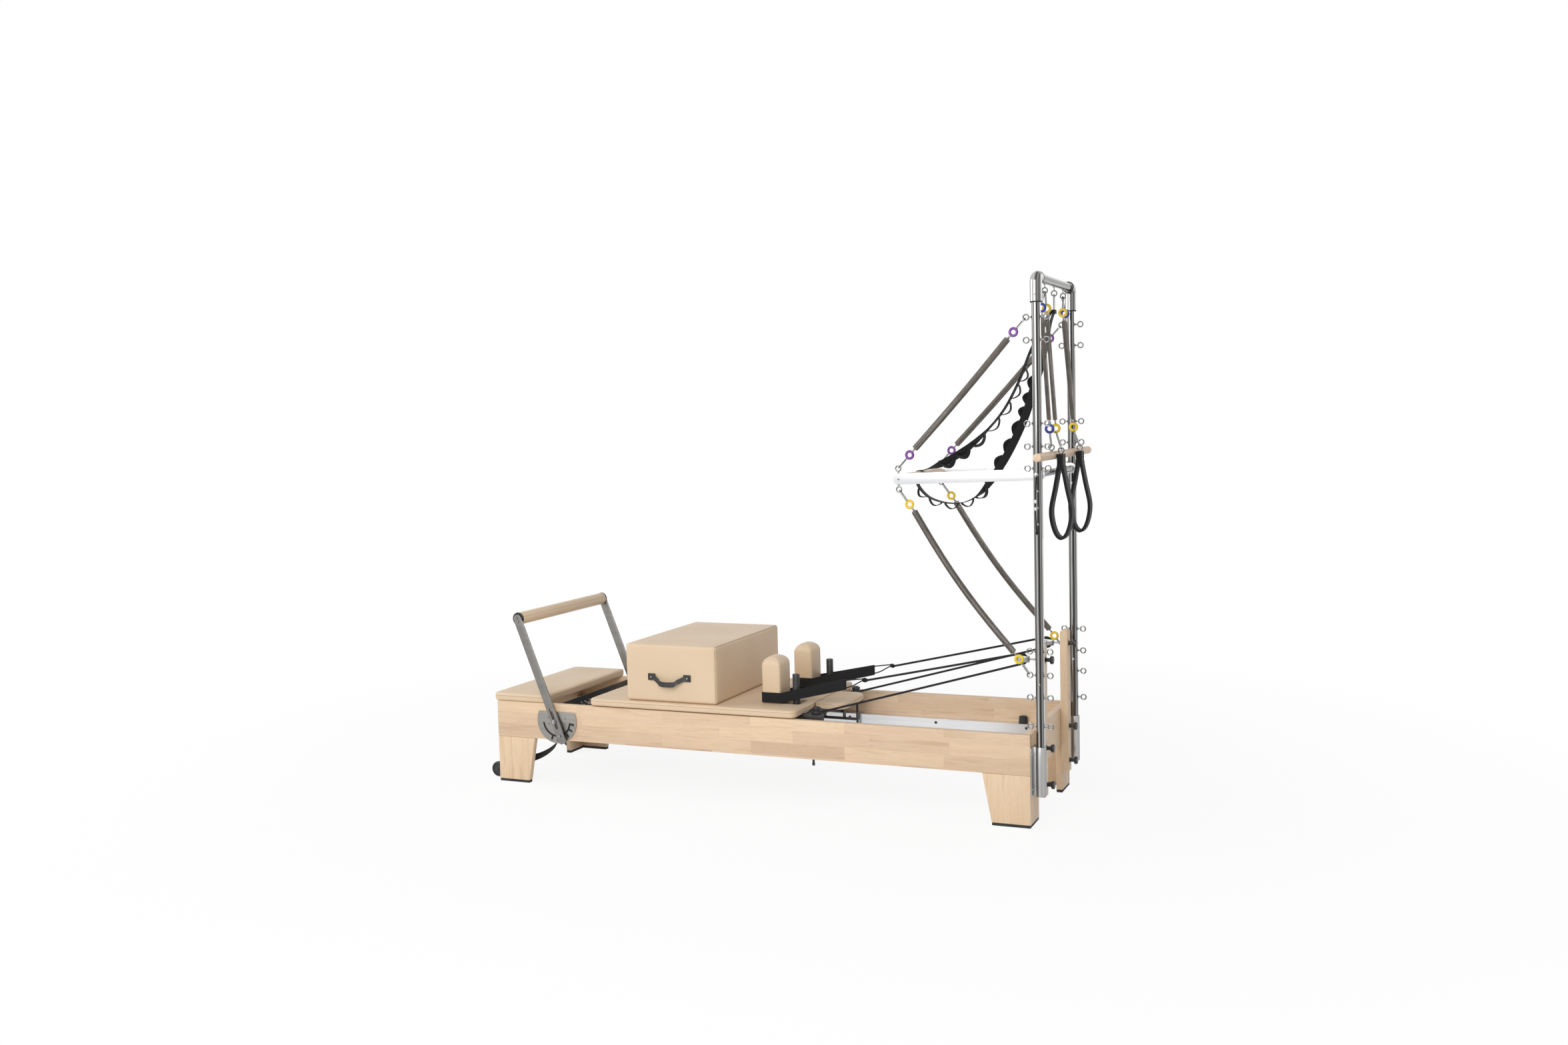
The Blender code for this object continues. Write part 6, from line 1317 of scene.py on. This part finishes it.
# Push-through bar: two flat aluminium arms with rounded ends that turn on the posts' pins, the
# tube between their pivots, a leather-wrapped grip at the far end, and an eye bolt up and down.
bar_reach, bar_droop, push_arm_half = 0.583, math.radians(1.52), 0.0225
push_arm_outer, push_arm_thickness = 0.298, 0.008
push_arm_middle = push_arm_outer - push_arm_thickness / 2
push_inner = push_arm_outer - push_arm_thickness - gap
bar_tube_radius, grip_radius, push_pin_hole = 0.014, 0.020, 0.0051
grip_screw_radius, centre_dot_radius = 0.0052, 0.0001
push_eye_stem, push_eye_out = 0.0215, push_arm_half + 0.0205
bar_turn = Matrix.Translation(at(post_x, 0, pivot_height)) @ Matrix.Rotation(-bar_droop, 4, "Y")
bright_aluminium = mottled("bright_aluminium", (0.74, 0.745, 0.755), (0.68, 0.685, 0.695), 8.0, 0.38,
                           300.0, 0.05, (1, 1, 20), 0.75)


def add_to_bar(name, bm, material, hides=()):
    """Turn a mesh to the push-through bar's place and link it as a piece of the bar."""
    bmesh.ops.transform(bm, matrix=bar_turn, verts=bm.verts)
    return add_piece(name, bm, material, "push_bar", hides)


for side, sign in sides.items():
    arm, bore = bmesh.new(), bmesh.new()
    low, high = sorted((sign * push_arm_outer, sign * (push_arm_outer - push_arm_thickness)))
    extruded(arm, stadium(0, -bar_reach, push_arm_half, 16), "Y", low, high, 0.0008)
    rod(bore, (0, low - 0.01, 0), (0, high + 0.01, 0), push_pin_hole, 24)
    add_to_bar("push_arm_" + side, cut_out(arm, bore), bright_aluminium,
               ["push_bar_arm_" + side])
    bm = bmesh.new()
    for way in (-1, 1):
        eye_bolt(bm, Vector((-bar_reach, sign * push_arm_middle, way * push_eye_out)), (0, 0, way),
                 push_eye_stem)
    for x, radius in ((0.0, centre_dot_radius), (-bar_reach, grip_screw_radius)):
        seat = Vector((x, sign * push_arm_outer, 0))
        rod(bm, seat - across(sign * 0.001), seat + across(sign * 0.0005), radius, 24, 0.0001)
    add_to_bar("push_eyes_" + side, bm, steel, ["push_bar_arm_" + side])
bm = bmesh.new()
rod(bm, (0, -push_inner, 0), (0, push_inner, 0), bar_tube_radius, 48)
add_to_bar("push_pivot_tube", bm, chrome_across, ["push_bar_tube"])
bm = bmesh.new()
turned(bm, (-bar_reach, 0, 0),
       mirrored_profile([(grip_radius - 0.006, -push_inner), (grip_radius - 0.001, -push_inner),
                         (grip_radius, 0.003 - push_inner), (grip_radius, 0.02 - push_inner)]),
       48, closed=False)
add_to_bar("push_grip_cover", bm, leather, ["push_bar_grip"])
bm = bmesh.new()
seam_offset = grip_radius * 0.71
tube(bm, [(-bar_reach - seam_offset, y, -seam_offset)
          for y in (0.004 - push_inner, -0.1, 0.1, push_inner - 0.004)], fine_seam_wire)
add_to_bar("push_grip_seam", bm, thread)

# Springs with a snap hook and a coloured ring at each end. The long ones join the push-through
# bar's ends to the posts, purple above and yellow below.
coatings = {"purple": mottled("purple_coating", (0.215, 0.060, 0.330), (0.150, 0.035, 0.240), 30.0, 0.36,
                              500.0, 0.08),
            "yellow": mottled("yellow_coating", (0.900, 0.650, 0.030), (0.780, 0.520, 0.015), 30.0, 0.36,
                              500.0, 0.08),
            "blue": mottled("blue_coating", (0.030, 0.060, 0.420), (0.018, 0.035, 0.280), 30.0, 0.36,
                            500.0, 0.08)}
hook_half, hook_wire, gate_places = 0.0085, 0.0021, (0.15, 0.5, 0.85)
ring_reach, ring_wire, ring_stem, ring_stem_radius, ring_distance = 0.0145, 0.0054, 0.014, 0.0036, 0.075
long_radius, long_wire, long_pitch = 0.0138, 0.0017, 0.0038
eye_flat = eye_ring * math.cos(math.pi / 6)


def snap_hook(bm, start, end):
    """Long oval link between two points of its wire, with a spring gate on one side."""
    along = (end - start).normalized()
    aside = (Vector((0, 1, 0)) - along * along.y).normalized()
    path = []
    for centre, first in ((end - along * hook_half, -90), (start + along * hook_half, 90)):
        path += [centre + a * along + b * aside for a, b in arc((0, 0), hook_half, first, first + 180, 10)]
    swept(bm, path, hook_wire, closed=True)
    gate = [(start + along * hook_half).lerp(end - along * hook_half, t) - aside * hook_half
            for t in gate_places]
    swept(bm, gate, hook_wire * 1.25)


def spring_eye(hooks, rings, hook, centre, way):
    """One end of a spring: its hook, its coloured ring and the stem that runs into the coil."""
    snap_hook(hooks, Vector(hook), centre - way * ring_reach)
    ring(rings, centre, Vector((0, 1, 0)) - way * way.y, ring_reach, ring_wire, 32, 12)
    rod(hooks, centre + way * ring_reach, centre + way * (ring_reach + ring_wire * 0.6 + ring_stem),
        ring_stem_radius, 16, 0.0004)
    return centre + way * (ring_reach + ring_wire + ring_stem - 0.002)


for level, way, eye_z, colour, sag in (("high", 1, eye_heights[8], "purple", 0.004),
                                       ("low", -1, eye_heights[2], "yellow", 0.020)):
    for side, sign in sides.items():
        name = f"long_spring_{side}_{level}"
        bar_eye = bar_turn @ Vector((-bar_reach, sign * push_arm_middle, way * push_eye_out))
        post_eye = at(post_x - eye_offset, sign * post_y, eye_z)
        along = (post_eye - bar_eye).normalized()
        seat = eye_flat - eye_wire - hook_wire - 0.0006
        ends = []
        for body, eye, pull in (("push_bar", bar_eye, along), ("frame", post_eye, -along)):
            hooks, rings = bmesh.new(), bmesh.new()
            ends.append(spring_eye(hooks, rings, eye + pull * seat, eye + pull * ring_distance, pull))
            add_piece(f"{name}_hook_{body}", hooks, steel, body, [name])
            add_piece(f"{name}_ring_{body}", rings, coatings[colour], body, [name])
        down = (Vector((0, 0, -1)) + along * along.z).normalized()
        bm = bmesh.new()
        coil(bm, sagging(*ends, down * sag, 24), long_radius, long_wire, long_pitch)
        piece = add_piece(f"{name}_coil", bm, spring_steel, None, [name])
        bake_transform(piece)

# Roll-down bar: a turned beech dowel with an eye at two places, hung from the top bar by two blue
# and two yellow short springs. The yellow ones also hold the foot loops.
dowel_z, dowel_radius, dowel_half, dowel_eye_y = 1.478, 0.0165, 0.480, 0.232
dowel_x = post_x + post_radius + dowel_radius + 0.0006
dowel_eye_z = dowel_z + dowel_radius + eye_ring + eye_wire + 0.002
loop_x, loop_top_z, loop_places = 2.6043, 1.497, {"near": -0.200, "far": 0.160}
short_radius, short_wire, short_pitch = 0.0092, 0.0013, 0.0029
top_ring_z, low_ring_z, hook_shift = 2.062, 1.584, 0.0026
beech = jointed_wood("turned_beech", (0, 0, quarter), 5.0, 5.0, (0.78, 0.60, 0.43), (0.72, 0.53, 0.36))


def on_rim(eye, pull, target, shift=0.0, clearance=0.0006):
    """Where a hook's wire ends behind the rim of an eye that it pulls."""
    rim = eye + pull * eye_flat + Vector((shift, 0, 0))
    return rim - (target - rim).normalized() * (eye_wire + hook_wire + clearance)


bm = bmesh.new()
rod(bm, at(dowel_x, -dowel_half, dowel_z), at(dowel_x, dowel_half, dowel_z), dowel_radius, 48, 0.003)
add_piece("roll_down_dowel", bm, beech, "roll_down", ["roll_down_bar"])
bm = bmesh.new()
for sign in sides.values():
    eye_bolt(bm, at(dowel_x, sign * dowel_eye_y, dowel_eye_z), (0, 0, 1),
             dowel_eye_z - dowel_z - dowel_radius + 0.001)
add_piece("roll_down_eyes", bm, steel, "roll_down", ["roll_down_bar"])
for side, sign in sides.items():
    top_eye = at(post_x, sign * top_eye_y, top_bar_z - top_eye_drop)
    dowel_eye = at(dowel_x, sign * dowel_eye_y, dowel_eye_z)
    loop_eye = at(loop_x, loop_places[side], loop_top_z)
    for colour, shift, top_y, low_x, low_y, low_eye in (
            ("blue", -hook_shift, 0.214, dowel_x - 0.008, 0.225, dowel_eye),
            ("yellow", hook_shift, 0.149, dowel_x + 0.004, 0.1675, loop_eye)):
        name = f"short_spring_{side}_{colour}"
        top_ring = at(post_x + shift, sign * top_y, top_ring_z)
        low_ring = at(low_x, sign * low_y, low_ring_z)
        along = (low_ring - top_ring).normalized()
        hooks, rings = bmesh.new(), bmesh.new()
        start = spring_eye(hooks, rings, on_rim(top_eye, Vector((0, 0, -1)), top_ring, shift, 0.0009),
                           top_ring, along)
        end = spring_eye(hooks, rings, on_rim(low_eye, Vector((0, 0, 1)), low_ring), low_ring, -along)
        add_piece(name + "_hooks", hooks, steel, "roll_down", [name])
        add_piece(name + "_rings", rings, coatings[colour], "roll_down", [name])
        bm = bmesh.new()
        coil(bm, [start, end], short_radius, short_wire, short_pitch)
        add_piece(name + "_coil", bm, spring_steel, "roll_down", [name])

# Foot loops: broad padded black loops of webbing, sewn together under the eye that they hang by.
# Two rows of stitches run through each neck.
loop_thickness, loop_width, loop_height, loop_half, loop_neck = 0.0122, 0.052, 0.350, 0.040, 0.060
neck_half, loop_top = loop_thickness / 2 + 0.0004, -eye_ring - eye_wire
stitch_rows, stitch_reach = (0.55, 0.80), 0.42
half_route = [(neck_half, loop_top), (neck_half, -loop_neck * 0.6), (neck_half + 0.001, -loop_neck),
              (loop_half * 0.58, -loop_height * 0.42), (loop_half, -loop_height * 0.66),
              (loop_half * 0.90, -loop_height * 0.82), (loop_half * 0.52, -loop_height * 0.95)]
route = half_route + [(0.0, -loop_height)] + [(-x, z) for x, z in half_route[::-1]]
for side in sides:
    eye = at(loop_x, loop_places[side], loop_top_z)
    bm = bmesh.new()
    strap(bm, smoothed([eye + Vector((x, 0, z)) for x, z in route], 6), loop_width, loop_thickness * 0.94,
          (0, 1, 0))
    slab(bm, (eye.x - 0.004, eye.x + 0.004),
         (eye.y - loop_width / 2 + 0.001, eye.y + loop_width / 2 - 0.001),
         (eye.z - loop_neck + 0.004, eye.z + loop_top - 0.001), 0.001)
    add_piece("foot_loop_band_" + side, bm, webbing, "loop_" + side,
                        ["foot_loop_" + side], 50)
    bm = bmesh.new()
    for row in stitch_rows:
        for way in (-1, 1):
            tube(bm, [eye + Vector((way * (loop_thickness + 0.0006), loop_width * y, -loop_neck * row))
                      for y in (-stitch_reach, 0.0, stitch_reach)], fine_seam_wire)
    add_piece("foot_loop_stitches_" + side, bm, thread, "loop_" + side)
    bm = bmesh.new()
    eye_bolt(bm, eye, (0, 0, 1), 0.006 - loop_top)
    add_piece("foot_loop_eye_" + side, bm, steel, "loop_" + side, ["foot_loop_" + side])

# Loop strap: black webbing from the top bar round the push-through bar's grip and back up, with a
# row of small hand loops sewn along its outer side. It hangs on a snap hook.
band_width, band_thickness, bulge, longest_loop, strap_top_z = 0.040, 0.0030, 0.025, 0.11, 2.066
down_run = [(2.500, 2.020), (2.438, 1.904), (2.385, 1.775), (2.304, 1.639), (2.173, 1.513), (2.040, 1.437)]
up_run = [(1.946, 1.345), (1.988, 1.301), (2.055, 1.277), (2.128, 1.274), (2.190, 1.296), (2.245, 1.345),
          (2.333, 1.474), (2.406, 1.620), (2.445, 1.736), (2.490, 1.880), (2.524, 2.020)]
outer_lean, inner_lean, loops_turn_x = 44, -44, 2.22
grip = (post_x - bar_reach * math.cos(bar_droop), pivot_height - bar_reach * math.sin(bar_droop))
round_grip = arc(grip, grip_radius + band_thickness / 2 + 0.0013, 75, 225, 6)
route = [(post_x - 0.004, strap_top_z)] + down_run + round_grip + up_run + [(post_x + 0.004, strap_top_z)]


def outer_way(place):
    """The run down to the grip shows its edge high up and its face near the grip."""
    return outer_lean * max(0.0, min(1.0, (0.52 - place) / 0.2, (place - 0.06) / 0.10))


def inner_way(place):
    """The run back up shows its face between the low bend and the top."""
    return inner_lean * max(0.0, min(1.0, (place - 0.42) / 0.12, (0.97 - place) / 0.08))


def leaning(spots, lean):
    """Width directions that lean towards the near side, by how far each spot is from grip to post."""
    directions = []
    for i, spot in enumerate(spots):
        run = heading(spots, i).normalized()
        angle = math.radians(lean((spot.x - foot_end - grip[0]) / (post_x - grip[0])))
        directions.append(math.cos(angle) * Vector((0, 1, 0)) + math.sin(angle) * Vector((-run.z, 0, run.x)))
    return lambda share: directions[round(share * (len(directions) - 1))]


def halved(run):
    """A run's points, with one more in the middle of each stretch that is too long for one loop."""
    points = run[:1]
    for a, b in zip(run, run[1:]):
        if math.dist(a, b) > longest_loop:
            points.append(((a[0] + b[0]) / 2 + 0.003, (a[1] + b[1]) / 2 - 0.002))
        points.append(b)
    return points


bm = bmesh.new()
line = smoothed([at(x, 0, z) for x, z in route], 5)
turn_point = min(range(len(line)), key=lambda i: line[i].x)
for part, lean in ((line[:turn_point + 1], outer_way), (line[turn_point:], inner_way)):
    strap(bm, part, band_width, band_thickness, leaning(part, lean))
for run, way, lean in ((down_run, 1, outer_way), (up_run, -1, inner_way)):
    points = halved(run)
    for a, b in zip(points, points[1:]):
        start, end = at(a[0], 0, a[1]), at(b[0], 0, b[1])
        along = (end - start).normalized()
        out = Vector((-along.z, 0, along.x)) * (1 if a[0] > loops_turn_x else way)
        flat = out * band_thickness * 0.5
        spots = [start.lerp(end, 0.10) + flat]
        spots += [start.lerp(end, 0.14 + 0.72 * k / 6) + flat
                  + out * bulge * math.sin(math.pi * (0.1 + 0.8 * k / 6)) ** 0.9 for k in range(7)]
        spots.append(start.lerp(end, 0.90) + flat)
        small = smoothed(spots, 4)
        straight = [start.lerp(end, k / (len(small) - 1)) for k in range(len(small))]
        strap(bm, small, band_width * 0.6, band_thickness, leaning(straight, lean))
slab(bm, from_foot(post_x - 0.006, post_x + 0.006), (-band_width * 0.46, band_width * 0.46),
     (strap_top_z - 0.016, strap_top_z), 0.001)
piece = add_piece("loop_strap_webbing", bm, webbing, None, ["loop_strap"], 50)
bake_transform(piece)
bm = bmesh.new()
top_eye = at(post_x, 0, top_bar_z - top_eye_drop)
snap_hook(bm, top_eye - Vector((0, 0, eye_flat - eye_wire - hook_wire - 0.0006)),
          at(post_x, 0, strap_top_z - 0.006))
add_piece("loop_strap_hook", bm, steel, "frame", ["loop_strap"])

# Foot end, underneath: two wheels to move the machine by, on brackets at the end board, and a
# webbing strap from the board to the spring bar to carry it by.
transport_x, transport_y, transport_z, transport_radius = -0.0375, 0.3125, 0.041, 0.036
transport_half, transport_inside, transport_plate = 0.011, 0.0119, 0.003
bracket_tip, bracket_low, bracket_high = 0.0125, 0.024, 0.094
axle_radius, axle_nut_radius, axle_nut_end = 0.0048, 0.0065, 0.0055
wheel_profile = mirrored_profile([(0.0056, -transport_half), (0.012, -transport_half), (0.013, -0.0085),
                                  (0.026, -0.0085), (0.0275, -transport_half), (0.0318, -transport_half),
                                  (0.0352, -0.0065), (transport_radius, 0.0)])
carry_width, carry_thickness, carry_y = 0.047, 0.0028, -0.2625
carry_route = [(0.0303, 0.086), (0.080, 0.088), (0.140, 0.099), (0.205, 0.130), (0.252, 0.170),
               (0.268, 0.2095), (0.290, 0.245), (0.318, 0.268), (0.350, 0.2725)]
for side, sign in sides.items():
    centre = at(transport_x, sign * transport_y, transport_z)
    bm = bmesh.new()
    turned(bm, centre, wheel_profile, 48)
    add_piece("transport_tyre_" + side, bm, knob_plastic, "transport_" + side,
              ["transport_wheel_" + side])
    bm = bmesh.new()
    outline = [(-0.0006, bracket_low), (-0.0006, bracket_high)]
    outline += arc((transport_x, transport_z), bracket_tip, 130, 270, 10)
    for way in (-1, 1):
        low, high = sorted((way * transport_inside, way * (transport_inside + transport_plate)))
        extruded(bm, [(foot_end + x, z) for x, z in outline], "Y", centre.y + low, centre.y + high, 0.0005)
        rod(bm, centre + across(way * (transport_inside + 0.002)),
            centre + across(way * (transport_inside + axle_nut_end)), axle_nut_radius, 6, 0.0006)
    rod(bm, centre - across(transport_inside + 0.002), centre + across(transport_inside + 0.002),
        axle_radius, 20)
    add_piece("transport_bracket_" + side, bm, black_metal, "frame", ["end_frame_foot"])
bm = bmesh.new()
strap(bm, smoothed([at(x, carry_y, z) for x, z in carry_route], 5), carry_width, carry_thickness,
      (0, 0.80, 0.60))
add_piece("carry_strap_webbing", bm, webbing, "frame", ["carry_strap"])

# The rest of the lanyard: its braid, two white beads on it and a small knot at its end, and what
# kind of cord it is.
bead_plastic = mottled("white_bead", (0.80, 0.79, 0.76), (0.70, 0.69, 0.66), 60.0, 0.4)
beads = (("lanyard_bead_high", 0.42, 0.0062, bead_plastic), ("lanyard_bead_low", 0.55, 0.0062, bead_plastic),
         ("lanyard_knot", 0.97, 0.0052, braid))
lanyard_curve.materials.append(braid)
for name, share, radius, material in beads:
    bm = bmesh.new()
    place = lanyard_top.lerp(lanyard_bottom, share) + lanyard_sway * math.sin(math.pi * share)
    bmesh.ops.create_uvsphere(bm, u_segments=20, v_segments=14, radius=radius,
                              matrix=Matrix.Translation(place) @ Matrix.Diagonal((1, 1, 1.25, 1)))
    add_piece(name, bm, material, "frame", ["pin_lanyard"])

# Bring the view layer up to date at the end.
bpy.context.view_layer.update()
